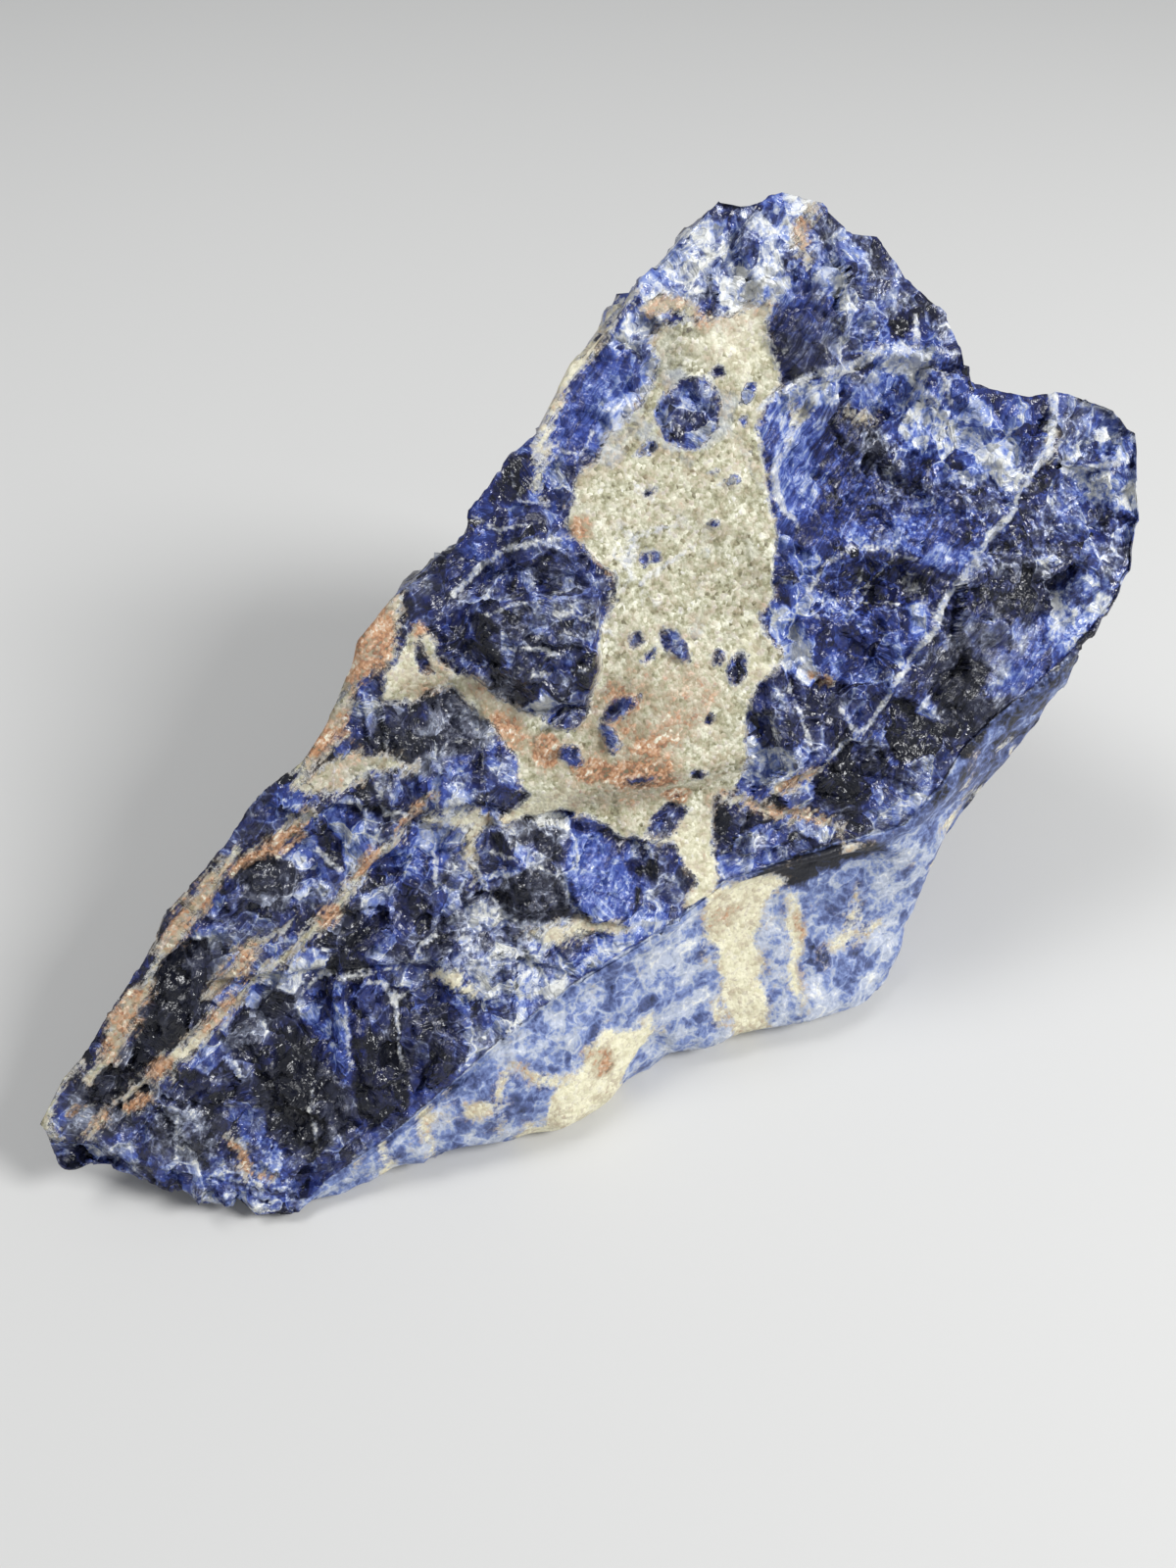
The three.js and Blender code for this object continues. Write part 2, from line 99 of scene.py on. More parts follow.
# ---------- The flank, from the rim down to the resting spot ----------
# Each station starts at a place on the rim, counted in edges, and gives four points below
# it: shoulder, waist, hem, resting spot.
STATIONS = (
    (0.00, ((-80, -24.5, 11), (-78, -25, 8), (-68, -22, 3.5), (-56, -26, 0))),
    (0.25, ((-50, -8, 27), (-46, -2, 15), (-40, -4, 5), (-32, -14, 0))),
    (0.50, ((-18, 8, 42), (-13, 19, 22), (-9, 16, 7), (-6, 4, 0))),
    (0.75, ((14, 21, 61), (19, 36, 33), (20, 30, 9), (18, 14, 0))),
    (1.00, ((38, 32, 78), (42, 46, 44), (42, 40, 11), (34, 17, 0))),
    (1.33, ((56, 20, 74), (60, 36, 42), (56, 29, 11), (44, 11, 0))),
    (1.66, ((66, 4, 64), (68, 16, 36), (60, 12, 9), (49, 0, 0))),
    (2.00, ((78, -14, 54), (70, -6, 30), (61, -6, 8), (50, -12, 0))),
    (2.12, ((74, -28, 46), (67, -19, 26), (58, -15, 7), (49, -18, 0))),
    (2.19, ((69, -34.5, 46), (66, -27, 27), (56, -19, 6), (48, -22, 0))),
    (2.25, ((65.5, -36, 38), (62, -33, 25), (54, -25, 6), (47, -26, 0))),
    (2.37, ((53, -39, 29), (50, -39.5, 18), (46, -38, 6), (43, -34, 0))),
    (2.44, ((43, -42.5, 26), (42.5, -44, 13), (40, -47, 2.5), (38, -42, 0))),
    (2.51, ((29, -38.5, 27), (28, -44, 14), (28, -50.5, 4), (27, -43, 0))),
    (2.60, ((13.5, -38, 25), (13, -42.5, 13), (12, -46.5, 4.5), (13, -41, 0))),
    (2.68, ((0.5, -40.5, 20), (0, -44, 11), (-0.5, -45, 1.5), (0, -41, 0))),
    (2.77, ((-14, -43, 16), (-15, -47, 9), (-15, -47.5, 2), (-15, -43, 0))),
    (2.86, ((-29, -43.5, 11), (-30, -45.5, 7), (-31, -45.5, 4), (-29, -41, 0))),
    (2.94, ((-41.5, -44, 6), (-42, -44.2, 4), (-42, -44, 2.5), (-40, -39, 0))),
    (3.00, ((-53.5, -43.5, 1.8), (-53.5, -43.5, 1.4), (-53, -43, 1), (-51, -41, 0))),
    (3.40, ((-65.5, -36.5, 5.5), (-64.5, -36, 3.5), (-61, -33, 2), (-56, -31, 0))),
    (3.70, ((-75, -30.5, 7), (-74, -30, 4.5), (-67, -27, 2), (-58, -28, 0))),
)
LEVELS = 4  # each station's points, counted down from the rim, which is level 0

# Flat breaks that chip the flank: the way each one looks, and how far it lies from the origin.
BREAKS = (
    ((-0.5, 0.8, 0.35), 32), ((-0.1, 0.97, 0.2), 40), ((0.25, 0.9, 0.35), 58),
    ((0.6, 0.8, 0.1), 57), ((0.5, 0.7, 0.5), 80), ((0.9, 0.1, -0.4), 50),
    ((0, 0.8, -0.6), 18), ((0.5, 0.6, -0.6), 31), ((-0.4, 0.8, -0.45), 10),
)

# ---------- Relief of the fracture face, places in the plane of the face ----------
# Bowls and lumps: middle, half sizes, turn in degrees, depth or height.
BOWLS = (
    ((58, 9), (15, 12), -35, 3.5), ((49, -3), (8, 4.5), -32, 1.8), ((7, 27), (7, 4), 30, 2.5),
    ((-10, 12), (8, 6), 20, 1.6), ((29, 4), (11, 18), 20, 1.2),
)
LUMPS = (
    ((-15, 20), (9, 5), 35, 2.6), ((-30, 10), (9, 6), 20, 1.6), ((60, 33), (10, 9), 0, 2),
    ((44, 38), (9, 7), 0, 1.2), ((-62, -14), (16, 9), 30, 2), ((40, -26), (16, 7), -10, 1.6),
)
# Ledges: line, drop to its right, ramp, reach over which the ground comes back.
LEDGES = (
    (((50, 24), (57, 23.5), (63, 22.5), (72, 17)), 2.6, 1.6, 18),
    (((-17, 3), (-8, 0), (2, -6), (12, -10), (24, -14)), 3.2, 5, 22),
    (((-52, -2), (-40, -8), (-28, -15)), 2.2, 1.4, 18),
    (((26, -20), (38, -18), (49, -14), (62, -8), (73, -2), (80, 5)), 2.4, 9, 60),
    (((41, 2), (34, -8), (30, -18)), -1.6, 2, 10),
)
# Blocks: convex outline drawn clockwise, height, slope along and up, width of the edge.
BLOCKS = (
    (((2.5, 23), (12, 19), (17.5, 15), (12.5, 6), (8, 2.5), (2, 6), (-1.5, 19)),
     2.4, (0.06, -0.1), 1.6),
    (((-10.5, -4.5), (0, -11), (4, -18), (4.5, -28), (-15.5, -16.5)), 1.8, (-0.1, 0.05), 1.4),
    (((-27, 7), (-20, 3), (-22, -3), (-30, 0)), 1.5, (0.12, 0.1), 1.4),
    (((-40, -9), (-34, -13), (-42, -28), (-48, -24)), 1.8, (0.1, 0.04), 1.2),
    (((-54, -11), (-48, -13), (-50, -30), (-56, -28)), 1.4, (-0.1, 0), 1.2),
    (((51, 32), (60, 31), (62, 25), (52, 25)), 1.6, (-0.1, 0.12), 1.4),
)

# ---------- Relief all over ----------
# Cleaved crystals, from chips of the back down to grains: mm across one, how steeply its facet
# may lean, mm between neighbouring facets, and where its run of chances starts.
CRYSTALS = (9.5, 0.22, 1.1, 10)
CHIPS = (25, 0.16, 1.8, 30)
GRAINS = (3.2, 0.3, 0.4, 60)
PEBBLES = (1.7, 0.2, 0.12, 80)
WAVES = ((31, 1.3), (12, 0.7))  # length and height of long swells
SAND = ((1.5, 0.1),)  # size and height of the finest relief
SAND_FLANK = 0.4  # share of it on the flank
CRUMBS = ((4, 0.7), (1.9, 0.25))  # sizes and heights along the pale side's lower edge
SEAM_HEIGHT = 0.2
VEIN_SHARE = 0.15  # share of the crystals that is left on the vein
SIDE_SHARE = 0.2  # share of the small ones that is left on the pale side
RIM_SHARE = 0.3  # share of the relief that is left on the rim
RIM_WIDTH = 6  # mm over which the rest comes in
SMOOTH_FLANK = (1.95, 3.1)  # the front of the flank, counted in edges
SMOOTH_SHARE = 0.25  # share of the crystals there
CREST_WORN = (0.8, 1.6)  # how deep the crest is worn, and how far to either side
RING_DROP = 9  # mm from the crest down to the first level of the flank
TIP_REACH = 0.2  # the thin left tip, in edges, where the flank is calm

# ---------- Mesh ----------
STEPS_LONG = 330  # steps of the face's grid from its foot edge to its right edge
STEPS_SHORT = 165  # and from its crest to its upper edge
RINGS = 84  # rings of the flank, from the rim down to the flat spot
FINE_RINGS = 3  # of them, those that have as many places as the rim; the rest have half


def smooth(value, low, high):
    """0 below low and 1 above high, and t squared times (3 - 2t) between, t the share of the way."""
    t = np.clip((value - low) / (high - low), 0, 1)
    return t * t * (3 - 2 * t)


# ---------- Axes of the face ----------
def face_axes():
    """The face's along, up and outward directions: a level direction turned to the left, the
    slope's outward direction, and the level one rolled towards their cross product."""
    turn, tilt, roll = (math.radians(angle) for angle in (FACE_TURN, FACE_TILT, FACE_ROLL))
    level = np.array((math.cos(turn), -math.sin(turn), 0))
    out = np.array((
        -math.sin(turn) * math.sin(tilt),
        -math.cos(turn) * math.sin(tilt),
        math.cos(tilt),
    ))
    along = math.cos(roll) * level + math.sin(roll) * np.cross(out, level)
    return along, np.cross(out, along), out


ALONG, UP, OUT = face_axes()


def from_face(place):
    """Points of the face's plane: centre plus place times the along and up directions."""
    return FACE_CENTRE + place[..., :1] * ALONG + place[..., 1:] * UP


def to_face(points):
    """A point's place on the face and its depth under it: its offset from the face's centre,
    measured along the face's three directions."""
    offset = points - FACE_CENTRE
    return offset @ ALONG, offset @ UP, -(offset @ OUT)


# ---------- Rim, face and flank ----------
def on_path(corners, share):
    """The point at a share of a bent line's length, read off against the length so far."""
    corners = np.array(corners, float)
    length = np.concatenate(((0,), np.cumsum(np.hypot(*np.diff(corners, axis=0).T))))
    at = share * length[-1]
    return np.stack([np.interp(at, length, corners[:, axis]) for axis in (0, 1)], -1)


def face_places():
    """Places on the face, a Coons patch over u from the foot edge to the right edge and v from
    the crest to the upper edge: both blends of opposite edges, less the blend of the four
    corners. Then how far each is from the rim and from the crest in mm, about, and its place
    along the crest."""
    u, v = np.meshgrid(np.linspace(0, 1, STEPS_LONG + 1), np.linspace(0, 1, STEPS_SHORT + 1))
    left, right = (1 - u)[..., None], u[..., None]
    low, high = (1 - v)[..., None], v[..., None]
    places = low * on_path(CREST, 1 - u) + high * on_path(UPPER_EDGE, u)
    places += left * on_path(FOOT_EDGE, v) + right * on_path(RIGHT_EDGE, 1 - v)
    places -= low * (left * CREST[-1] + right * CREST[0])
    places -= high * (left * UPPER_EDGE[0] + right * UPPER_EDGE[-1])
    from_rim = np.minimum(np.minimum(u, 1 - u) * FACE_LENGTH, np.minimum(v, 1 - v) * FACE_WIDTH)
    return places, from_rim, v * FACE_WIDTH, 3 - u


def hermite(before, start, end, after, t):
    """A uniform Catmull-Rom span: the cubic from start to end whose slope at each is half the
    way between its neighbours."""
    leave, arrive = (end - before) / 2, (after - start) / 2
    return (
        (2 * t**3 - 3 * t**2 + 1) * start
        + (t**3 - 2 * t**2 + t) * leave
        + (3 * t**2 - 2 * t**3) * end
        + (t**3 - t**2) * arrive
    )


def loops_below(place):
    """Four points below each place on the rim, on closed curves through the stations' points."""
    starts = [station[0] for station in STATIONS] + [len(EDGES)]
    points = np.array([station[1] for station in STATIONS], float)
    at = np.interp(place, starts, np.arange(len(starts)))
    first = np.minimum(at.astype(int), len(STATIONS) - 1)
    t = (at - first)[:, None, None]
    around = [points[(first + step) % len(STATIONS)] for step in (-1, 0, 1, 2)]
    return hermite(*around, t)


def flank_points(place, rings):
    """The flank over the place on the rim and the ring below it: an open Catmull-Rom curve from
    the rim through the four loops, brought back onto each break that it stands out past."""
    edge = np.minimum(place.astype(int), len(EDGES) - 1)
    rim = np.zeros((len(place), 2))
    for n, corners in enumerate(EDGES):
        rim[edge == n] = on_path(corners, (place - edge)[edge == n])
    controls = np.concatenate((from_face(rim)[:, None], loops_below(place)), 1)
    before = 2 * controls[:, :1] - controls[:, 1:2]
    after = 2 * controls[:, -1:] - controls[:, -2:-1]
    controls = np.concatenate((before, controls, after), 1)
    first = np.minimum(rings.astype(int), LEVELS - 1)
    t = (rings - first)[:, None, None]
    around = [controls[:, first + step].swapaxes(0, 1) for step in range(4)]
    points = hermite(*around, t)
    for towards, at in BREAKS:
        way = np.array(towards) / np.linalg.norm(towards)
        points = points - np.maximum(0, points @ way - at)[..., None] * way
    points[..., 2] = np.maximum(points[..., 2], 0)
    return points


# ---------- Chance and noise that are the same on every run ----------
def chance(i, j, k, salt):
    """The fraction left of a large multiple of the sine of a weighted sum."""
    wave = np.sin(i * 127.1 + j * 311.7 + k * 74.7 + salt * 53.3) * 43758.5453
    return wave - np.floor(wave)


def noise(points, salt):
    """Smooth noise from -1 to 1: chances at the corners of unit cubes, eased between them."""
    cell = np.floor(points)
    ease = smooth(points - cell, 0, 1)
    total = 0
    for corner in range(8):
        step = np.array((corner & 1, (corner >> 1) & 1, corner >> 2))
        weight = np.where(step, ease, 1 - ease).prod(-1)
        total = total + weight * chance(*np.moveaxis(cell + step, -1, 0), salt)
    return 2 * total - 1


def crystals(points, size, lean, step, salt):
    """The nearest of the crystals whose middles lie anywhere in the cells of a lattice: the
    height of its leaning facet, its middle, how much nearer it is than the next one, and a
    chance of its own."""
    home = np.floor(points / size)
    nearest = np.full(points.shape[:-1], np.inf)
    second = nearest.copy()
    height = np.zeros_like(nearest)
    own = np.zeros_like(nearest)
    middles = np.zeros_like(points)
    for n in range(27):
        cell = home + np.array((n % 3 - 1, n // 3 % 3 - 1, n // 9 - 1))
        i, j, k = np.moveaxis(cell, -1, 0)
        middle = (cell + np.stack([chance(i, j, k, salt + more) for more in range(3)], -1)) * size
        offset = points - middle
        away = np.linalg.norm(offset, axis=-1)
        better = away < nearest
        second = np.where(better, nearest, np.minimum(second, away))
        nearest = np.where(better, away, nearest)
        way = 2 * np.stack([chance(i, j, k, salt + more) for more in (3, 4, 5)], -1) - 1
        rise = lean * (offset * way).sum(-1) + step * (chance(i, j, k, salt + 6) - 0.5)
        height = np.where(better, rise, height)
        own = np.where(better, chance(i, j, k, salt + 7), own)
        middles = np.where(better[..., None], middle, middles)
    return {"height": height, "middle": middles, "gap": second - nearest, "chance": own}


def layered(points, layers, salt):
    """Noise of each size times its height, summed."""
    return sum(height * noise(points / size, salt + n) for n, (size, height) in enumerate(layers))


# ---------- Shapes in the plane of the face ----------
def ellipse(p, q, at, half, turn=0):
    """Squared distance from the middle of a turned ellipse, 1 on its outline."""
    angle = math.radians(turn)
    x = (p - at[0]) * math.cos(angle) + (q - at[1]) * math.sin(angle)
    y = (q - at[1]) * math.cos(angle) - (p - at[0]) * math.sin(angle)
    return (x / half[0]) ** 2 + (y / half[1]) ** 2


def beside(p, q, start, end):
    """How far a point is from a stretch of line, how far to its right, and its share along."""
    dx, dy = end[0] - start[0], end[1] - start[1]
    length = math.hypot(dx, dy)
    share = np.clip(((p - start[0]) * dx + (q - start[1]) * dy) / length**2, 0, 1)
    away = np.hypot(p - start[0] - share * dx, q - start[1] - share * dy)
    right = ((p - start[0]) * dy - (q - start[1]) * dx) / length
    return away, right, share


def ledge(p, q, line, drop, ramp, reach):
    """A drop eased in over the ramp right of the line, given back over the reach, and faded out
    past the line's ends, where the distance is more than the step to the right."""
    best, side = np.full(p.shape, np.inf), np.zeros(p.shape)
    for start, end in zip(line, line[1:]):
        away, right, share = beside(p, q, start, end)
        past = ((share == 0) & (start == line[0])) | ((share == 1) & (end == line[-1]))
        side = np.where(away < best, np.where(past, right, np.copysign(away, right)), side)
        best = np.minimum(away, best)
    fade = np.clip(1 - (best - np.abs(side)) / ramp, 0, 1)
    return -drop * smooth(side, 0, ramp) * np.clip(1 - side / reach, 0, 1) * fade


def block(p, q, outline, height, slope, edge):
    """A leaning plane over a convex outline drawn clockwise, eased out within its edge."""
    inside = np.full(p.shape, np.inf)
    for start, end in zip(outline, outline[1:] + outline[:1]):
        inside = np.minimum(inside, beside(p, q, start, end)[1])
    lean = slope[0] * (p - outline[0][0]) + slope[1] * (q - outline[0][1])
    return (height + lean) * np.clip(inside / edge, 0, 1)


def face_relief(p, q):
    """Bowls that sink by depth times (1 - e), lumps that rise by height times (1 - e) squared,
    ledges and blocks, all added up; e is the squared distance of their ellipse."""
    relief = np.zeros(p.shape)
    for at, half, turn, depth in BOWLS:
        relief -= depth * np.maximum(0, 1 - ellipse(p, q, at, half, turn))
    for at, half, turn, height in LUMPS:
        relief += height * np.maximum(0, 1 - ellipse(p, q, at, half, turn)) ** 2
    for shape in LEDGES:
        relief += ledge(p, q, *shape)
    for shape in BLOCKS:
        relief += block(p, q, *shape)
    return relief


def inside(p, q, outline):
    """Distance in from an outline: the least distance from its sides, negative where a line to
    the right crosses the sides an even number of times."""
    least, odd = np.full(p.shape, np.inf), np.zeros(p.shape, bool)
    for start, end in zip(outline, outline[1:] + outline[:1]):
        least = np.minimum(least, beside(p, q, start, end)[0])
        rise = (end[1] - start[1]) or 1
        crossing = start[0] + (end[0] - start[0]) * (q - start[1]) / rise
        odd ^= ((start[1] > q) != (end[1] > q)) & (p < crossing)
    return np.where(odd, least, -least)


def within(p, q, lines):
    """Distance in from bent lines whose corners are (along, up, half width): the half width read
    off along each stretch, less the distance from it; the greatest wins."""
    most = np.full(p.shape, -FAR)
    for line in lines:
        for start, end in zip(line, line[1:]):
            away, _, share = beside(p, q, start, end)
            most = np.maximum(most, start[2] + (end[2] - start[2]) * share - away)
    return most


def spots(p, q, shapes):
    """Soft spots added up: each gives its amount, eased in from its outline, where e is 1, to
    where e is 0.4; e is the squared distance of its ellipse."""
    total = np.zeros(p.shape)
    for at, half, turn, amount in shapes:
        total += amount * smooth(1 - ellipse(p, q, at, half, turn), 0, 0.6)
    return total


# ---------- Markings, places in the plane of the face or, on the side, (along, up) ----------
FAR = 40  # mm, further than any marking reaches

VEIN = (
    (38.5, 38.5), (41, 39.5), (44, 38.5), (47, 36.5), (51, 36), (55, 35), (54, 33.5), (52, 31.5),
    (51.5, 29), (51, 25.5), (47.5, 24), (46, 22.5), (44.8, 20), (43.8, 17), (42.5, 13),
    (39.5, 7), (37.5, 4), (36.5, 2), (34, 1), (33.5, -0.5), (34.5, -5), (32, -6), (29, -6.8),
    (27, -8), (25, -11), (23.5, -14), (21, -17), (19, -17.5), (17, -18), (15, -20), (14, -22),
    (12.5, -25.5), (11, -27.5), (9, -30), (5, -30), (5.5, -27.5), (8, -26), (8.5, -23),
    (9, -20), (7, -19), (5, -17), (3, -15.5), (2, -12.5), (0.5, -10), (-2, -8), (-6, -6.5),
    (-9.5, -5), (-9.5, -4), (-6, -4.2), (-4.5, -3.5), (-4.5, -0.5), (-3.5, 2), (-4, 4.5),
    (-3.5, 7), (-5, 10), (-5.5, 14), (-7.5, 15.5), (-11, 15.5), (-14, 17.5), (-12, 20),
    (-8, 22), (-5, 23.5), (-4, 20), (-5.5, 18), (-4, 15), (-2.5, 14), (-1.5, 10), (0.5, 7),
    (3, 5), (5.5, 4), (8.5, 2.5), (10, 5), (12, 7), (13.5, 9.5), (16, 11.5), (18.5, 13.5),
    (19.8, 16), (18.5, 19), (17.5, 22), (17.5, 25), (20, 27), (22, 28.5), (25, 29.5), (28, 31.5),
    (31, 32), (34, 33), (37, 34.5), (38.5, 36.5),
)
# Blue crystals that float in the vein: middle, half sizes, turn.
INCLUSIONS = (
    ((18, 7.2), (1.2, 1), 0), ((22.2, 3.8), (2.5, 1.3), -78), ((11.8, 0.2), (2.7, 1.2), 8),
    ((28, -3.4), (2, 1.4), 50), ((26.6, -0.8), (1, 0.8), 0), ((21.3, -7.1), (0.7, 0.5), 0),
    ((39, 18.6), (1, 0.5), 5), ((24.4, 15.7), (0.9, 0.7), 0), ((26, 14.9), (0.9, 0.7), 0),
    ((34.7, 15), (0.7, 0.5), 0), ((3, -1.6), (1.5, 1.6), 0), ((8.7, -2.2), (0.9, 2), 0),
    ((9, -9.3), (2, 0.7), -28), ((16.6, -13), (0.9, 0.6), 0), ((5.5, 3), (2.8, 1.3), -12),
    ((9.5, -17), (3, 1.8), 10), ((29, 22.5), (1, 0.5), 0), ((44.6, 24), (0.5, 0.7), 0),
    ((46.5, 27), (1.3, 0.9), 40), ((37.6, 20.4), (0.5, 0.4), 0), ((-6.6, 19.6), (0.8, 2.1), -20),
    ((38.6, 28.3), (4.6, 3.9), 10), ((31.5, 27), (1.2, 0.8), 0), ((44.5, 31), (0.8, 0.6), 0),
    ((18.8, 4.5), (1, 0.4), 20), ((12.3, -14.6), (0.5, 0.4), 0),
)
# Streaks of vein stuff elsewhere.
STREAKS = (
    ((-41, 10.5, 0.5), (-45, 9, 0.9), (-49, 7, 1.5), (-53, 5.5, 1.3), (-57, 4, 0.5),
     (-60, 1.8, 0.9), (-63.5, 0.5, 1.3), (-67, -1.8, 1.5), (-70, -3.8, 1), (-73.5, -5, 0.4)),
    ((-78, -11.2, 0.5), (-74, -10, 0.4), (-68, -9, 0.4), (-64, -8.3, 0.9), (-60, -7.8, 1.3),
     (-56, -7.2, 0.9), (-51, -6.3, 0.7), (-46, -4.8, 0.5), (-40, -4, 0.6), (-36, -3.2, 0.9),
     (-33, -2.2, 0.5), (-30, -0.7, 0.8), (-27, 0.5, 0.7), (-23, 1, 0.5), (-19, 2.5, 0.4),
     (-15, 3.6, 0.3)),
    ((-54, -3.8, 0.6), (-51, -3, 1.1), (-48.5, -2, 1.2), (-45, -1, 0.5), (-42, -1.2, 0.3),
     (-39, -1, 0.3)),
    ((-43, 9.5, 0.6), (-40, 9, 0.8), (-36.5, 8.6, 0.8), (-33, 9.2, 1.1), (-30, 10.2, 0.6)),
    ((-29, 15.5, 0.6), (-25, 16, 1.5), (-21.3, 18.2, 1.6), (-17.5, 20.8, 1.4), (-14, 23, 2.3),
     (-10.8, 23.8, 2.4), (-8.5, 25.5, 1.6), (-5.5, 27.3, 0.6)),
    ((-29, 13.8, 1), (-25, 12.6, 2.2), (-21.5, 12.3, 2), (-18.3, 10.8, 1.1), (-15.5, 8, 0.4)),
    ((18, -18.5, 0.6), (21, -21, 0.5), (24, -23.8, 0.6), (27, -27, 0.5), (29.5, -30, 0.6)),
    ((25, -20.6, 0.5), (28, -20.8, 0.6), (31, -20.8, 0.4)),
    ((35, -7, 0.4), (36.5, -9.5, 0.4), (38, -12, 0.3)),
    ((-81.5, -9.5, 0.8), (-82, -7, 0.9), (-79, -5, 0.7), (-75.5, -2.8, 0.6), (-72.5, -2, 0.5)),
    ((-71.5, -10.8, 0.6), (-69, -11, 0.6)), ((-78.5, -7.5, 0.4), (-76, -8, 0.3)),
    ((-62.5, -22, 0.3), (-62.8, -24.5, 0.4), (-63.5, -27, 0.3)),
    ((-62.5, -28.7, 0.5), (-61.5, -29.2, 0.4)),
    ((60.5, 36, 0.4), (61, 38.5, 0.5), (62, 41, 0.8), (65, 42, 0.4)),
    ((39.5, 43, 0.6), (42, 41.5, 1.2), (44.5, 39, 0.9), (46, 37.5, 0.5)),
    ((16.8, 30, 0.7), (19.3, 33.2, 0.9), (22.5, 36.8, 0.8), (26, 39.7, 0.9), (31, 41.6, 1),
     (36, 43.2, 0.8), (40, 44.8, 0.5)),
    ((-18, 1, 0.3), (-15, -1.5, 1.1), (-12.5, -3, 1.8), (-15, -5, 0.9), (-16.5, -8.5, 0.7),
     (-17.2, -10, 0.2)),
    ((-14, -19.7, 0.7), (-12.5, -21.3, 1.4), (-10.5, -22.3, 1), (-8.3, -22.9, 1.1),
     (-5.5, -24.2, 0.9), (-3, -25.6, 0.5)),
    ((-28, -17.8, 0.6), (-26, -19.3, 1.3), (-25, -21.8, 0.9)),
    ((57.8, 18, 0.4), (59, 16.5, 0.8), (60.5, 15.3, 0.3)),
    ((50, 20.2, 0.4), (51.5, 20.8, 0.9), (52.8, 21.4, 0.3)),
    ((76.4, -0.4, 0.3), (78.2, 0.7, 0.9), (79, 2.5, 0.4)),
)
# White seams: corners with their half widths.
SEAMS = (
    ((81.5, 6.3, 0.7), (79.8, 3.8, 0.6), (77.8, 0.6, 0.8), (74, -1.6, 0.5), (70.5, -3.6, 0.6),
     (67, -5.4, 0.5), (62.5, -7.7, 0.5), (58, -9.7, 0.4), (54.5, -11.6, 0.5),
     (51, -13.2, 0.5), (47.5, -15.3, 0.45), (44, -16.4, 0.4), (41, -18.6, 0.4),
     (36.5, -19.7, 0.4), (32, -20.6, 0.4)),
    ((40.5, -3, 0.15), (41, 1, 0.2), (45, 2.6, 0.25), (49, 2.5, 0.25), (53, 0.3, 0.2),
     (56, -4, 0.2)),
    ((-22.3, -15.3, 0.7), (-21.9, -15.6, 0.7)), ((-21.8, -20.8, 0.7), (-21.5, -21.2, 0.6)),
    ((-8.7, -26.9, 0.4), (-8.3, -27.1, 0.4)),
    ((78, -0.8, 0.3), (81, -4.5, 0.4), (84, -6, 0.5), (87, -6.5, 0.3)),
    ((37.3, -15.5, 0.3), (37.8, -20, 0.2)),
    ((43.8, 9, 0.3), (43.7, 13, 0.5), (45, 16.3, 0.6), (47.5, 18.3, 0.5), (50.5, 20.3, 0.4)),
    ((47, 24.3, 0.3), (52, 24.6, 0.5), (57, 23.9, 0.5), (60.5, 23, 0.7), (65, 22, 0.4),
     (69, 20, 0.4), (73, 17.3, 0.3)),
    ((-16, -7, 0.3), (-16, -12, 0.25), (-15.8, -17, 0.3)),
    ((-44.5, -10.5, 0.1), (-40.5, -9.3, 0.25), (-38, -11, 0.2), (-34.5, -13.5, 0.15),
     (-30, -14.7, 0.2), (-25, -13, 0.3)),
    ((-35.8, -13.5, 0.1), (-34.6, -17, 0.4), (-36, -21, 0.2), (-38, -25, 0.1)),
    ((-50.3, -22, 0), (-52.5, -26, 0.15), (-55, -30.5, 0.1)),
    ((-39.8, -14, 0.2), (-43, -20, 0.3), (-44.5, -22, 0.3)),
    ((3, 20.5, 0.15), (8, 18.6, 0.25), (13, 17.5, 0.2)),
    ((2.5, 15.5, 0.2), (7, 12.5, 0.35), (8.5, 10.5, 0.3)),
    ((4, 10.5, 0.15), (10, 8, 0.2)), ((10, 16, 0.2), (14.5, 12, 0.25), (16, 9.5, 0.2)),
    ((1, 24.5, 0.3), (6, 25.5, 0.4), (10, 25.5, 0.3), (14, 24, 0.4), (17, 23, 0.3)),
    ((8, 31, 0.15), (10, 28, 0.2), (14, 27, 0.2)), ((15, 34, 0.1), (14, 30, 0.2), (17, 28, 0.2)),
    ((39, 1, 0), (45, -3.5, 0.02), (51, -7.5, 0)), ((43.5, -6, 0.1), (50, 0, 0.1)),
    ((46, -5, 0.1), (53, -1.5, 0.2)), ((-19.3, -1, 0.2), (-19.6, -4, 0.4), (-21.5, -7.5, 0.3)),
    ((-13, -7.5, 0.1), (-9.8, -10.2, 0.25), (-6.8, -14.5, 0.2)),
    ((33.5, -8, 0.15), (32, -12, 0.2), (31.5, -17, 0.2)),
    ((21, 33.5, 0.1), (24, 31, 0.2), (27, 33, 0.15)),
    ((70.5, 24.5, 0.2), (69.3, 22, 0.5), (68, 20.5, 0.3)), ((69.6, 16, 0.3), (69.3, 12, 0.3)),
    ((-31.5, 9.5, 0.1), (-31.8, 5, 0.2), (-30.8, 0.5, 0.2)),
    ((-20.5, 9, 0.1), (-21.8, 4.5, 0.25), (-19, 2.3, 0.2)),
)
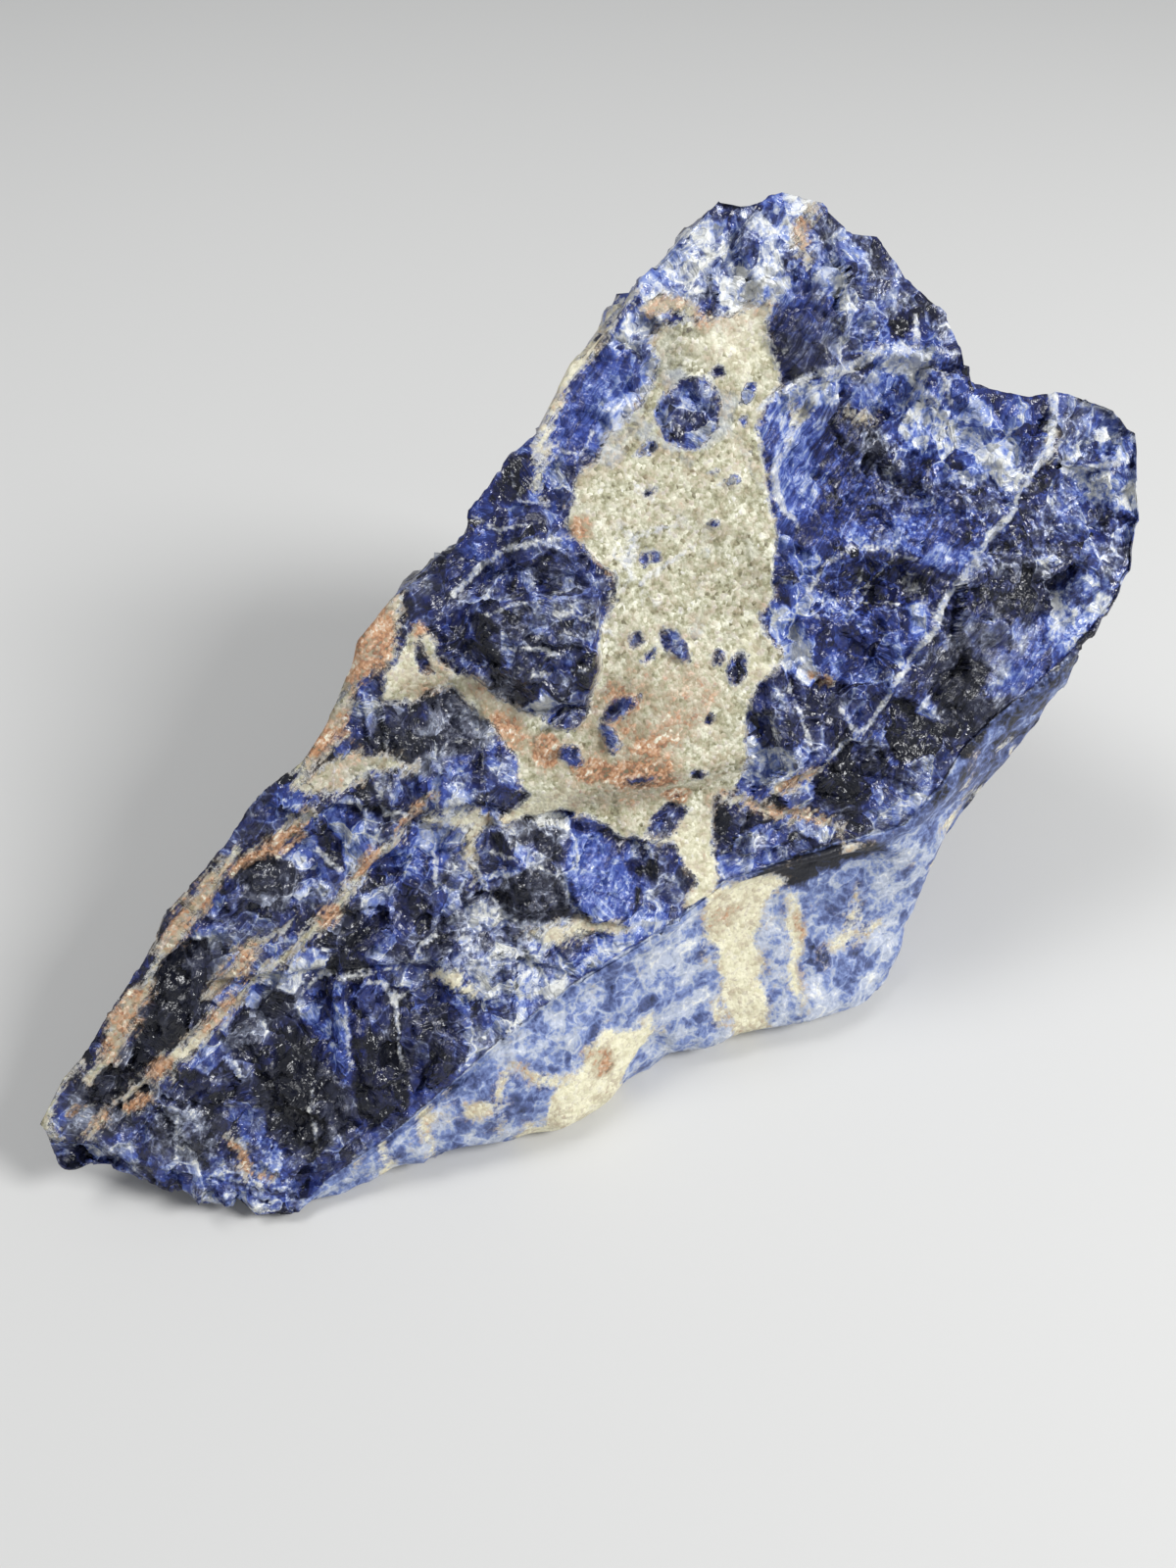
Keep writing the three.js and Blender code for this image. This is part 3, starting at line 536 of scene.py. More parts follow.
# Single crystals, and two black patches of painted shadow marked below: how light each is,
# from -1 (black) over 0 (navy) to 1 (pale), and its outline.
SINGLES = (
    (-0.85, ((-57, 4.2), (-52, 4), (-49.5, 2.5), (-51, 0), (-53.5, -3.5), (-56, -6.3), (-60, -7),
             (-66, -7), (-67.5, -5.5), (-62, -1.5))),
    (-0.6, ((-42.5, 8.2), (-40, 8.8), (-36.5, 7.8), (-35, 5), (-36, 1.8), (-39, 2.3), (-41.3, 4.5))),
    (-0.95, ((-15.5, -10.5), (-12.5, -11.5), (-9.5, -12), (-7, -15), (-7.3, -18), (-8, -21.5),
             (-11, -20), (-14.5, -17.5), (-15.6, -14))),
    (-0.6, ((-9.5, -7), (-6, -8), (-2.5, -10.5), (-3, -12), (-5.5, -14), (-8, -10))),
    (-0.55, ((-15, -7), (-12, -4.8), (-10.3, -6), (-9.8, -10), (-12, -11), (-15.5, -9.5))),
    (0.8, ((-2, -11.3), (0.5, -12.5), (2, -15), (2, -19), (1, -22), (-1.5, -25), (-4.5, -23.5),
           (-7.5, -22), (-5.7, -18), (-5, -14.5))),
    (-1, ((2.2, -21), (4, -22.3), (6, -21), (6.3, -20), (4, -20.5), (2.8, -20))),
    (0.15, ((1, -23), (3, -23), (4.5, -25), (4, -27), (1.5, -27.5), (0, -25.5))),
    (0.1, ((2, -17.5), (4, -16.5), (6.5, -19), (4.5, -19.7), (2.6, -19.6))),
    (0.45, ((-46.3, -20), (-42.5, -15), (-40, -10.8), (-38, -11.3), (-40.5, -15.5), (-43.5, -21),
            (-45.5, -24.5), (-47.3, -23))),
    (0.05, ((-38, -12.5), (-36, -14), (-35.5, -18), (-37.5, -21.5), (-39.2, -20.5), (-38.5, -16))),
    (-0.95, ((-42, -19), (-39.5, -14.5), (-38.5, -17), (-39, -21), (-38, -26), (-40, -31),
             (-47, -31.5), (-46, -27))),
    (-0.9, ((-55, -14.5), (-50, -12.5), (-47.5, -15), (-48, -20), (-51, -22), (-53.5, -28),
            (-55, -27), (-56.5, -23.5), (-55.5, -19.5))),
    (-0.33, ((51.5, 27.5), (51.5, 31), (56, 35), (60, 35), (61, 31), (61, 27.5), (58.5, 24.8),
            (52, 25.2))),
    (0.35, ((34.3, 28), (34.8, 31.3), (38, 32), (41, 31.3), (43, 29), (42.5, 26), (40, 24.8),
            (36.5, 24), (34.6, 26))),
    (-0.95, ((34.8, 27), (36.3, 28.3), (37.4, 27), (36.2, 25.7))),
    (-0.95, ((35.5, 30.8), (37.5, 31.5), (38.6, 30.3), (37, 29.4))),
    (-0.55, ((42.4, 1.6), (44.4, 3.1), (47.7, 2.9), (51.6, 0.9), (55.1, -1.5), (57.2, -4.7),
             (57.1, -7.2), (55.2, -8.6), (51.6, -8.1), (47.7, -6.2), (44.2, -3.4), (42.2, -0.8))),
    (0.65, ((38.8, 3), (41.3, 2.3), (41, -1), (40, -4), (37.2, -6.3), (35.3, -5.3), (35.8, -3),
            (38, 0))),
    (-0.15, ((46, 9), (50, 11), (54, 14), (56, 11), (55, 6), (51, 3.5), (46, 4))),
    (-0.35, ((55, 10), (58, 12.5), (62, 11), (64.5, 7), (63, 3), (58, 2), (55, 5))),
    # Painted shadow on the cliff at the left of the raised block.
    (-1, ((1, 21.5), (3.5, 20.5), (3, 17), (1.6, 13.5), (0.2, 13.5), (0, 17))),
    (-1, ((9, 9), (12, 9.8), (13, 7.5), (11, 5.3), (8.5, 5.8))),
    (0.5, ((11.8, 9.5), (13.8, 9.9), (14.2, 8), (12, 6.5), (10.8, 6.8), (12.3, 8))),
    (0.45, ((1.8, 17.5), (3.1, 16.8), (3.2, 14.8), (1.8, 14.8))),
    (-0.9, ((-19, 13.5), (-16, 15.5), (-14.5, 12), (-15, 9.5), (-18, 10.5))),
    (-0.95, ((-24, 9.5), (-21.3, 10), (-20.5, 6), (-22, 2), (-23.5, 2), (-22.7, 6))),
    (-0.95, ((-31.5, 6), (-29.5, 8.5), (-28.8, 5), (-30.5, 1), (-32, 3))),
    (0.3, ((-34, 14), (-30, 14.5), (-28.8, 12.5), (-31, 11), (-34.5, 11))),
    (-0.9, ((17.4, -18.6), (17.6, -21), (15.6, -23.4), (14, -24.7), (14, -22), (14.6, -19.6))),
    (-0.4, ((33, -11), (36, -10), (37.3, -13), (37, -18.5), (33.5, -19.3), (31.5, -17), (32, -13))),
    (-0.7, ((29.5, -22), (35, -21), (39.5, -23), (39.5, -27), (34, -29), (30, -27))),
    (-0.85, ((52.5, -16), (57, -17.5), (57.5, -22), (53, -24.5), (52, -29), (48, -27), (49.5, -21))),
    (-0.6, ((62, -12), (68, -11), (70.5, -15), (69.5, -20), (65, -19.5), (63, -16))),
    (0.5, ((55.5, -23.5), (58, -22), (61.5, -21), (60, -24), (57, -25.5))),
    (-1, ((65, 23.5), (67, 26.3), (69, 25.5), (68.5, 23.3), (66, 22.5))),
    (0.6, ((60.8, 24), (61.4, 28), (63.3, 28), (63.6, 25), (62.8, 23.3))),
    # Painted shadow in the notch at the upper edge.
    (-0.9, ((11, 32), (16, 35.2), (19, 34), (17, 30.5), (13, 30.5))),
    (0.2, ((21, 33), (24, 37), (28, 39), (33, 40.5), (37.5, 40), (38, 37), (36, 34.7), (32, 34.8),
           (30, 35), (28, 33.5), (26, 32), (25, 29.5), (23, 28), (21, 28.5))),
)
# Lighter and darker ground: middle, half sizes, turn, amount of the same measure. The spot on
# the left tip at (-71, -8) is painted shade, and the broad one at (66, 4) is painted light
# over the face's right half.
SHADES = (
    ((-71, -8), (6, 4), 10, -0.5), ((-65, -31), (6, 5), 0, 0.5), ((-63, -14), (6, 2.5), 0, -0.4),
    ((-60, -25), (4, 6), 0, 0.7), ((-57, -10), (3, 5), 0, 0.6), ((-53, 1.5), (4, 2), 20, 0.7),
    ((-50, -26), (8, 5), 20, -0.35), ((-50, -22), (18, 11), 0, -0.35), ((-48, -7), (9, 3), 5, 1),
    ((-48, -5), (14, 9), 10, 0.3), ((-46, -11.5), (3, 2), 0, -1), ((-45, 3), (15, 7), 10, 0.45),
    ((-44, -13), (3, 5), -25, 1), ((-42, -6), (4, 4), 0, 0.6), ((-38, 4), (5, 4), 0, -0.2),
    ((-37, -12), (2.5, 3), 0, -0.4), ((-34, -24), (6, 8), 0, -0.45), ((-34, 2), (7, 5), 0, 0.7),
    ((-32, -15), (5, 3), -30, 0.5), ((-27, -12), (2, 3), 0, -0.8), ((-26, -4), (5, 3), 10, 0.7),
    ((-26, 4), (5, 6), 0, 0.9), ((-24, -15), (12, 15), 0, 0.42), ((-22, -10), (4, 4), 0, 0.5),
    ((-19, -20), (9, 8), 0, 0.35), ((-19, -1), (4, 3), 0, 1), ((-17, 14), (5, 2.5), 20, 0.5),
    ((-13, -12), (1.5, 2), 0, 0.8), ((-13, 0), (4, 4), 0, 1.1), ((-10, -18), (3, 6), 0, 0.7),
    ((-10, 11), (6, 6), 0, -0.25), ((-8, 6), (8, 7), 0, 0.7), ((-6, -27.5), (11, 3), 0, 0.7),
    ((-5, -8), (4, 2.5), -30, 1.2), ((-4, 13), (5, 4), 0, 0.5), ((2, -19.5), (6, 3), 0, 0.65),
    ((4, -25), (5, 3), 0, 0.5), ((4.5, 6), (4, 2.5), -30, 1.2), ((5, 22), (6, 3), 0, 0.4),
    ((7, 15), (6, 7), 0, 0.2), ((8, 15), (8, 9), 0, -0.25), ((12, 28), (6, 3), -30, -0.3),
    ((15, 17), (2.5, 4), 0, 0.4), ((16, -26.5), (8, 4), 0, 0.9), ((20, 29), (2.5, 3), 0, 0.8),
    ((24, -16), (5, 6), 0, 1.1), ((25, -26), (4, 4), 0, 1.3), ((27, -22), (4, 2), 0, 0.8),
    ((30, -19), (6, 4), 0, 0.5), ((30, 32), (6, 3), 20, 0.8), ((37, -29), (5, 3), 0, -0.4),
    ((37, -4.5), (3.5, 7), 5, 1.3), ((38, -31), (12, 4), 0, 0.4), ((38, 39), (8, 4), 25, 0.7),
    ((39, -15), (4, 3), 0, 0.4), ((41, -9), (3, 2), 0, -0.5), ((42, -12.5), (3, 4), 0, 0.25),
    ((42, 4.5), (4, 2), 10, 0.6), ((44, -24), (4, 5), 0, -0.7), ((47, 6), (4, 4), 0, -0.5),
    ((48, -22), (2.5, 2.5), 0, 0.9), ((50, -12), (6, 2), 30, 0.8), ((51, 20), (4, 3), 0, 0.5),
    ((53.5, 36.3), (5, 4.3), 0, 1.2), ((54, 22.5), (8, 2), -5, 1), ((54, 43), (15, 6), -8, 1),
    ((55, 15), (3, 4), 0, -0.4), ((56, -25), (8, 4), 20, -0.2), ((57, -4.5), (4, 4), 0, 0.45),
    ((58, -16), (5, 4), 0, 0.45), ((58, 7), (6, 4), 0, 0.5), ((60, 33), (6, 3), 0, 0.8),
    ((61, 28), (3, 4), 0, 1), ((65, 19), (5, 3), 0, 0.9), ((65, 36), (4, 4), 0, 0.8),
    ((66, -23), (12, 5), 12, 0.9), ((66, 4), (32, 25), 0, 0.35), ((66, 22), (7, 4), -20, 0.35),
    ((66, 30), (5, 5), 0, 0.5), ((67, 11), (6, 6), 0, 0.7), ((68, 7), (6, 7), 0, 0.3),
    ((71, -19), (3, 4), 0, 0.5), ((73, -7), (4, 4), 0, -0.5), ((73, 3.5), (8, 6), 0, 0.6),
    ((75, -21.5), (9, 2.5), 20, 0.6), ((83, 0), (3, 3), 0, -0.4), ((84, -12), (3, 5), -20, 0.6),
    ((84, -6), (6, 10), 0, 0.5), ((87, -2), (2.5, 6), -10, 0.7), ((47, 39.5), (2.5, 2.5), 0, 0.9),
    ((47, 12), (5, 9), 0, 0.2), ((51.5, 2.4), (7, 1.8), -32, 0.5),
)
# Speckled ground, ground that is bluer or (below 0) greyer, ground with fine parallel streaks,
# and orange stains.
SPECKLED = (
    ((59, 8), (12, 11), 0, 1), ((74, -10), (18, 16), 0, 0.7), ((-68, -17), (7, 6), 0, 1),
    ((-20, -20), (10, 9), 0, 0.9), ((53, 41), (16, 8), 0, 0.6), ((49, -3), (9, 6), -30, 0.7),
    ((45, -25), (16, 8), 0, 0.5), ((-11, -17), (6, 6), 0, 0.5), ((-5, 10), (10, 10), 0, 0.4),
    ((-64, -28), (8, 8), 0, 0.7), ((66, 28), (8, 9), 0, 0.5), ((8, 14), (10, 10), 0, 0.5),
)
TINTS = (
    ((-72, -8), (9, 5), 20, -0.8), ((-67, -18), (6, 5), 0, -0.6), ((-57, -1), (10, 5), 20, -0.8),
    ((-52, -23), (7, 8), 0, -0.8), ((-50, -10), (8, 3), 10, -0.6), ((-43, -17), (4, 8), -25, 1.2),
    ((-39, 5), (4, 4), 0, -1), ((-31, 13), (4, 2), 0, 0.9), ((-27, 6), (3, 5), 0, 0.6),
    ((-22, -3), (5, 4), 0, 0.8), ((-20, -18), (9, 8), 0, -0.4), ((-12, 12), (8, 7), 0, -0.6),
    ((-11, -16), (5, 6), 0, -1), ((-10, -10), (4, 2), 0, 0.7), ((-6, -9), (5, 4), -40, -0.8),
    ((-5, -27), (9, 3), 0, 0.5), ((-5, 10), (8, 5), 0, -1), ((-2, -18), (5, 8), 0, 1.2),
    ((8, 15), (9, 9), 0, -0.2), ((10, 30), (8, 3), 30, 0.6), ((12.5, 8), (3, 3), 0, 1),
    ((28, 36), (9, 5), 25, 0.8), ((38, -2), (4, 6), 0, 1), ((44, 4), (9, 3), 10, 1.2),
    ((46, -7), (11, 10), 0, 0.6), ((46, 40), (10, 4), 0, -0.2), ((47, 12), (8, 12), 20, 1),
    ((50, 22), (10, 3), 0, 0.8), ((56, -24), (9, 6), 20, -0.8), ((56, -19), (7, 5), 0, -0.25),
    ((58, -22), (5, 4), 0, 0.8), ((60, -3), (6, 5), -30, 1.3), ((60, 11), (4, 4), 20, -0.5),
    ((62, -13), (10, 6), 0, -0.1), ((66, -24), (9, 3), 10, 0.7), ((66, -15), (6, 6), 0, -0.2),
    ((66, 21.5), (6, 4), -20, 0.8), ((67, 12), (8, 9), 0, 0.8), ((73, 6), (8, 5), 0, 0.9),
)
STREAKED = (
    ((50, 13), (11, 11), 0, 1), ((56, 30), (7, 7), 0, 0.8), ((58, -20), (16, 9), 0, 0.6),
    ((27, 35.5), (8, 5), 30, 0.6), ((-2, -18), (5, 8), 0, 0.5), ((58, -3), (6, 6), 0, 0.8),
    ((46, 22), (5, 4), 0, 0.7),
)
STAINS = (
    ((-77.5, -7.7), (2, 1), 0, 0.9), ((-76, -10.5), (4, 1.2), 10, 0.7), ((-70, -11), (2.5, 1), 0, 1.3),
    ((-65, -8.4), (3, 1.5), 10, 1), ((-65, -1), (8, 3), 25, 0.6), ((-62.8, -25), (1, 4.5), 5, 1),
    ((-62, -29), (1.4, 1), 0, 1), ((-54, -6.8), (5, 1.5), 5, 0.6), ((-50, -3), (6, 2.5), 20, 0.65),
    ((-49, 6.5), (9, 3.5), 15, 0.6), ((-36, 8.6), (8, 1.5), 0, 1), ((-36, 8.6), (8, 2), 0, 0.3),
    ((-35.5, -3), (2, 2), 0, 1.2), ((-28, 0.8), (4, 1.8), 10, 1), ((-23, 14.5), (6, 3.5), 10, 0.35),
    ((-22, 17.5), (5, 2), 20, 0.8), ((-18, 2.8), (5, 1), 15, 0.9), ((-12, 23.5), (7, 3), 35, 0.9),
    ((-8, 16.5), (4, 3), 0, 0.4), ((-5, 23), (1.5, 1.5), 0, 0.8), ((-3, 11), (1.5, 5), 0, 0.5),
    ((-2, 5), (2.5, 4), 0, 0.7), ((0.7, 0.8), (2.3, 3), 0, 1), ((4, -4.5), (3.5, 2), -30, 0.8),
    ((7, -6), (12, 8), -35, 0.38), ((9, -8.5), (5, 2.5), -35, 0.8), ((11, -11), (3, 1.2), -30, 1),
    ((12, -8), (3, 4), 0, 0.35), ((12, 2.7), (2.5, 2), 0, 0.4), ((12.5, -14.5), (2.5, 1.6), -20, 0.9),
    ((13.5, 0.3), (2, 1.6), 0, 0.45), ((17, -18), (2.5, 1.5), 0, 0.5), ((17, -1.5), (10, 7), -30, 0.4),
    ((18.3, 17), (1, 2.5), 0, 0.9), ((19, 23), (2, 2.5), 0, 0.8), ((24, -24), (8, 2), -45, 0.6),
    ((28, -20.7), (4, 1.2), 0, 0.7), ((36.6, -10), (1.2, 3), 25, 1), ((42, 41), (3.5, 2), 0, 0.6),
    ((45.8, 37.5), (1.8, 2.2), 0, 0.7), ((54, 34.3), (2.5, 1.5), 0, 0.5), ((62, 40), (2, 3), 0, 0.6),
    ((63.5, 7.6), (0.8, 0.5), 0, 1), ((81.3, 6), (1.8, 1.5), 0, 1.2), ((88, -6.3), (0.8, 0.8), 0, 1),
)
# The pale side: cream patches with how ragged each one is, cream streaks, orange spots,
# and bluer and darker ground, with painted shade close under the crest.
SIDE_CREAM = (
    (0.4, ((12, -2), (11.8, 13), (11.8, 19), (10.5, 23), (10, 30), (17, 30), (23.5, 25.5),
           (20, 23), (18.4, 18), (17.8, 12), (17.5, 5), (18, -2))),
    (2.4, ((-24, -2), (-23.5, 3.5), (-20, 6.5), (-16, 10.5), (-11, 13), (-5, 14), (0, 12),
           (0.5, 9.5), (-3.5, 6.5), (-6, 3), (-8, -2))),
)
SIDE_STREAKS = (
    ((23.2, 6, 0.4), (22.8, 12, 1), (24, 18, 1.2), (24, 23, 0.8)),
    ((-20, 14, 0.5), (-16.5, 11.5, 0.8), (-12.5, 8, 0.8)),
    ((-39.5, -2, 0.5), (-40.5, 5, 0.8), (-41, 9, 0.5)),
    ((-35, 3, 0.3), (-34.5, 8, 0.7), (-34, 12, 0.4)),
    ((-6, 3, 0.5), (-8, 8, 0.6), (-9, 13, 0.4)),
    ((-25, 6, 0.2), (-24, 12, 0.4), (-21, 15, 0.3)),
)
SIDE_STAINS = (
    ((-8.3, 10.5), (2.2, 3), 20, 1), ((-10.5, 13.5), (1.8, 1.6), 0, 0.7), ((24.3, 11), (1, 2.5), 0, 0.7),
    ((24.5, 18), (1, 3), 0, 0.6), ((-20, 13), (1.5, 2), 0, 0.5), ((12, 24), (4, 3), 0, 0.3),
)
# Bluer and darker ground; the spots at (27, 29) and (20, 26) are painted shade under the crest.
SIDE_TONES_AND_PAINTED_SHADE = (
    ((31, 17), (8, 10), 0, -0.45), ((-38, 4), (10, 7), 0, -0.25), ((27, 29), (12, 5), 4, -1.9),
    ((20, 26), (6, 2), 0, -0.4), ((6, 8), (5, 8), 0, -0.15), ((-23, 9), (13, 7), 20, -0.3),
    ((-30, 12), (8, 3), 0, -0.2), ((-10, 18), (12, 5), 10, -0.1),
)
# Creamier vein and, where the amount is below 0, vein that has a blue haze.
CREAMY = (
    ((-15, -3.5), (6, 8), 0, 1), ((-8, -22.5), (9, 4), 0, 1), ((-26, -20), (4, 5), 0, 1),
    ((27, 38.5), (16, 5), 25, 0.9), ((47, 33), (7, 6), 0, 0.35), ((-5, -5.8), (8, 2.5), -15, 0.8),
    ((10, -24), (5, 8), -20, 0.5), ((32, -3), (5, 4), 0, 0.5), ((-60, -7.8), (4, 2), 0, 1),
    ((78, 0.5), (4, 3), 0, 0.8), ((59, 16.5), (4, 3), 0, 0.6), ((51, 20.5), (4, 2), 0, 0.8),
    ((-9, 19), (4, 3), 0, 0.3), ((-3, 14), (2, 4), 0, 0.5), ((-41, 10), (3, 2), 0, 0.8),
    ((38, 28), (9, 7), 10, -0.9), ((30, 30), (6, 3), 20, -0.9), ((47, 38), (6, 3), 0, -0.5),
    ((43.5, 18), (2, 6), 0, -0.7), ((34, -3), (3, 4), 0, -0.5), ((27, 29), (7, 2.5), 0, -0.5),
    ((6, -13), (4, 4), 0, -0.3),
)
DEEP = 8  # mm under the face by which its single crystals have ended
SIDE_STARTS = (2.1, 2.3)  # where the pale side comes in along the rim, and where it goes out
SIDE_ENDS = (2.97, 3.03)
OVER_CREST = (0.4, 2)  # mm from the crest to which it reaches over onto the face
SOFT_TOP = (31, 36)  # mm up the face over which the vein's edge turns soft
FLECKS_START = (5, 15)  # mm under the face over which flecks of vein set in
FACE_WAVER = ((3.1, 0.45), (1.2, 0.25))  # size and reach of the noise that ruffles outlines
SIDE_WAVER = ((3.1, 0.6),)
STRAY = (23, 5)  # the same for what runs through the stone


def lie(points):
    """A place on the face for every point, shifted by noise so that no outline is smooth, and
    further the deeper the point lies under the face."""
    p, q, depth = to_face(points)
    size, reach = STRAY
    stray = reach * smooth(depth, 0, 25)
    p = p + layered(points, FACE_WAVER, 41) + stray * noise(points / size, 43)
    q = q + layered(points, FACE_WAVER, 44) + stray * noise(points / size, 46)
    return p, q, depth


def shallow(depth):
    """1 close under the face, and 0 from DEEP on."""
    return 1 - smooth(depth, DEEP / 2, DEEP)


def vein_marks(points, p, q, depth):
    """How far in from its outline the vein or a streak lies, in mm, left out where a blue
    crystal floats in it and joined by flecks deep in the stone; and how soft its edge is."""
    thick, thin = 1.2 * inside(p, q, VEIN), within(p, q, STREAKS)
    soft = np.maximum(smooth(thin - thick, 0, 1), 0.8 * smooth(q, *SOFT_TOP))
    vein = np.maximum(thick, thin)
    for at, half, turn in INCLUSIONS:
        away = 1.7 * (np.sqrt(ellipse(p, q, at, half, turn)) - 1) * min(half)
        vein = np.minimum(vein, away + depth)
    flecks = 6 * (noise(points / 9, 50) - 0.62 + 0.25 * noise(points / 3, 51))
    return np.maximum(vein, flecks - FAR * (1 - smooth(depth, *FLECKS_START))), soft


def side_cream(points, x, z):
    """How far in cream lies on the pale side, in mm: streaks, ragged patches and small flecks."""
    cream = within(x, z, SIDE_STREAKS)
    for ragged, outline in SIDE_CREAM:
        cream = np.maximum(cream, inside(x, z, outline) + ragged * noise(points / 2.4, 54))
    return np.maximum(cream, 2.2 * noise(points / 3.4, 49) - 1.35)


def shade_and_seam(points, p, q, depth, blocks, grains):
    """How light a crystal is, from the chances of the large and small one that it is in, noise
    and SHADES; and how far in from its outline a seam lies, in mm. Inside its outline a single
    crystal evens the shade out towards its own, and a thin seam runs along the outline."""
    middle_p, middle_q, _ = to_face(grains["middle"])
    shade = 0.4 * (grains["chance"] - 0.5) + 0.45 * noise(points / 13, 52) - 0.11
    shade = shade + 0.45 * (blocks["chance"] - 0.5)
    shade = shade + shallow(depth) * spots(middle_p, middle_q, SHADES)
    seam = within(p, q, SEAMS) + 0.25 * smooth(depth, 1, 6)
    seam = np.maximum(seam, 0.5 * noise(points / 8, 53) - 0.3 - 0.5 * blocks["gap"])
    for light, outline in SINGLES:
        deep_in = inside(p, q, outline)
        even = 0.68 * light + 0.45 * shade
        shade = shade + smooth(deep_in, -0.15, 0.15) * shallow(depth) * (even - shade)
        seam = np.maximum(seam, -0.3 - np.abs(deep_in) - depth)
    return shade, seam


def markings(form, blocks, grains):
    """The markings of every point, each from -1 to 1 or as mm in from its outline. Those of the
    face run on through the stone. The pale side has its own; it reaches a little over the crest,
    and it has painted shade close under the crest and at its right end."""
    points, place = form.points, form.place
    p, q, depth = lie(points)
    x = points[:, 0] + layered(points, SIDE_WAVER, 47)
    z = points[:, 2] + layered(points, SIDE_WAVER, 48)
    side = smooth(place, *SIDE_STARTS) * (1 - smooth(place, *SIDE_ENDS))
    over = (1 - smooth(form.from_crest, *OVER_CREST)) * smooth(form.along_crest, 2.25, 2.5)
    side = np.maximum(side, over * (form.ring == 0))
    rest, under = 1 - side, shallow(depth)
    vein, soft = vein_marks(points, p, q, depth)
    shade, seam = shade_and_seam(points, p, q, depth, blocks, grains)
    # Painted shade on the pale side: strong at its right end, where it turns away under the crest, and
    # light in a band just under the crest, including its lip over onto the face.
    dark = 0.9 * (1 - smooth(place, 2.32, 2.46)) * (place > 0)
    dark = 0.3 * (1 - smooth(form.ring, 0, 0.5)) + dark
    return {
        "vein": vein * rest + side * side_cream(points, x, z),
        "soft": soft * rest,
        "cream": np.clip(spots(p, q, CREAMY), -1, 1) * rest + side,
        "stain": spots(p, q, STAINS) * rest + side * spots(x, z, SIDE_STAINS),
        "seam": np.where(side > 0.5, -FAR, seam),
        "shade": shade * rest + side * (spots(x, z, SIDE_TONES_AND_PAINTED_SHADE) - dark),
        "tint": np.clip(spots(p, q, TINTS), -1, 1) * under,
        "speckle": np.clip(0.25 + spots(p, q, SPECKLED) * under, 0, 1) * rest,
        "streak": np.clip(spots(p, q, STREAKED), 0, 1) * under * rest,
        "side": side,
    }


# ---------- The stone's skin ----------
def roughness(place):
    """1 on the flank's back and ends and 0 on its smooth front, eased over a fifth of an edge."""
    start, end = SMOOTH_FLANK
    return smooth(start - place, 0, 0.2) + smooth(place - end, 0, 0.2)


def rim_vertices():
    """The face's vertices along its rim, clockwise from the left tip, and their places."""
    last, row = STEPS_SHORT * (STEPS_LONG + 1), STEPS_LONG + 1
    long_steps, short_steps = np.arange(STEPS_LONG), np.arange(STEPS_SHORT)
    vertices = np.concatenate((
        last + long_steps,
        last + STEPS_LONG - short_steps * row,
        STEPS_LONG - long_steps,
        short_steps * row,
    ))
    shares = [long_steps / STEPS_LONG, short_steps / STEPS_SHORT] * 2
    return vertices, np.concatenate([edge + share for edge, share in enumerate(shares)])


def grid_faces():
    """Quads between neighbouring rows and columns of the face's grid, counter-clockwise."""
    row = STEPS_LONG + 1
    corner = (np.arange(STEPS_SHORT)[:, None] * row + np.arange(STEPS_LONG)).ravel()
    return np.stack((corner, corner + 1, corner + row + 1, corner + row), -1)


def strip(outer, inner):
    """Quads between two rings with as many vertices each."""
    return np.stack((outer, np.roll(outer, -1), np.roll(inner, -1), inner), -1)


def halving(outer, inner):
    """Three triangles to each vertex of a ring that has half the vertices of the one outside."""
    first, second, third = outer[::2], outer[1::2], np.roll(outer, -2)[::2]
    after = np.roll(inner, -1)
    fans = ((first, second, inner), (second, after, inner), (second, third, after))
    return np.concatenate([np.stack(fan, -1) for fan in fans])


def skin_faces(count, rim):
    """The face's grid, strips between neighbouring rings under its rim, and a fan round the last
    vertex, which closes the flat spot. The face has count vertices."""
    rings, start = [rim], count
    for n in range(RINGS):
        around = len(rim) if n < FINE_RINGS else len(rim) // 2
        rings.append(start + np.arange(around))
        start += around
    quads, triangles = [grid_faces()], []
    for outer, inner in zip(rings, rings[1:]):
        if len(outer) == len(inner):
            quads.append(strip(outer, inner))
        else:
            triangles.append(halving(outer, inner))
    last = rings[-1]
    triangles.append(np.stack((last, np.roll(last, -1), np.full(len(last), start)), -1))
    return np.concatenate(quads), np.concatenate(triangles)


def bare_form():
    """The chunk before its relief: points in mm and faces; for every point its place along the
    rim and the ring below it, -1 and 0 on the face, how far it is from the rim and from the
    crest, and its place along the crest; and the places on the face, whose points come first."""
    places, from_rim, from_crest, along_crest = face_places()
    rim, rim_place = rim_vertices()
    rings = LEVELS * np.arange(1, RINGS + 1) / RINGS
    bands = ((rim_place, rings[:FINE_RINGS]), (rim_place[::2], rings[FINE_RINGS:]))
    face = from_face(places).reshape(-1, 3)
    count = len(face)
    flank = [flank_points(*band).reshape(-1, 3) for band in bands]
    spot = np.array([[station[1][-1] for station in STATIONS]], float).mean(1)
    place = [np.tile(at, len(down)) for at, down in bands]
    place = np.concatenate((np.full(count, -1), *place, (-1,)))
    ring = [np.repeat(down, len(at)) for at, down in bands]
    ring = np.concatenate((np.zeros(count), *ring, (LEVELS,)))
    return SimpleNamespace(
        points=np.concatenate((face, *flank, spot)),
        faces=skin_faces(count, rim),
        place=place,
        ring=ring,
        from_rim=np.concatenate((from_rim.ravel(), np.zeros(len(ring) - count))),
        from_crest=np.concatenate((from_crest.ravel(), RING_DROP * ring[count:])),
        along_crest=np.concatenate((along_crest.ravel(), place[count:])),
        on_face=places.reshape(-1, 2),
    )


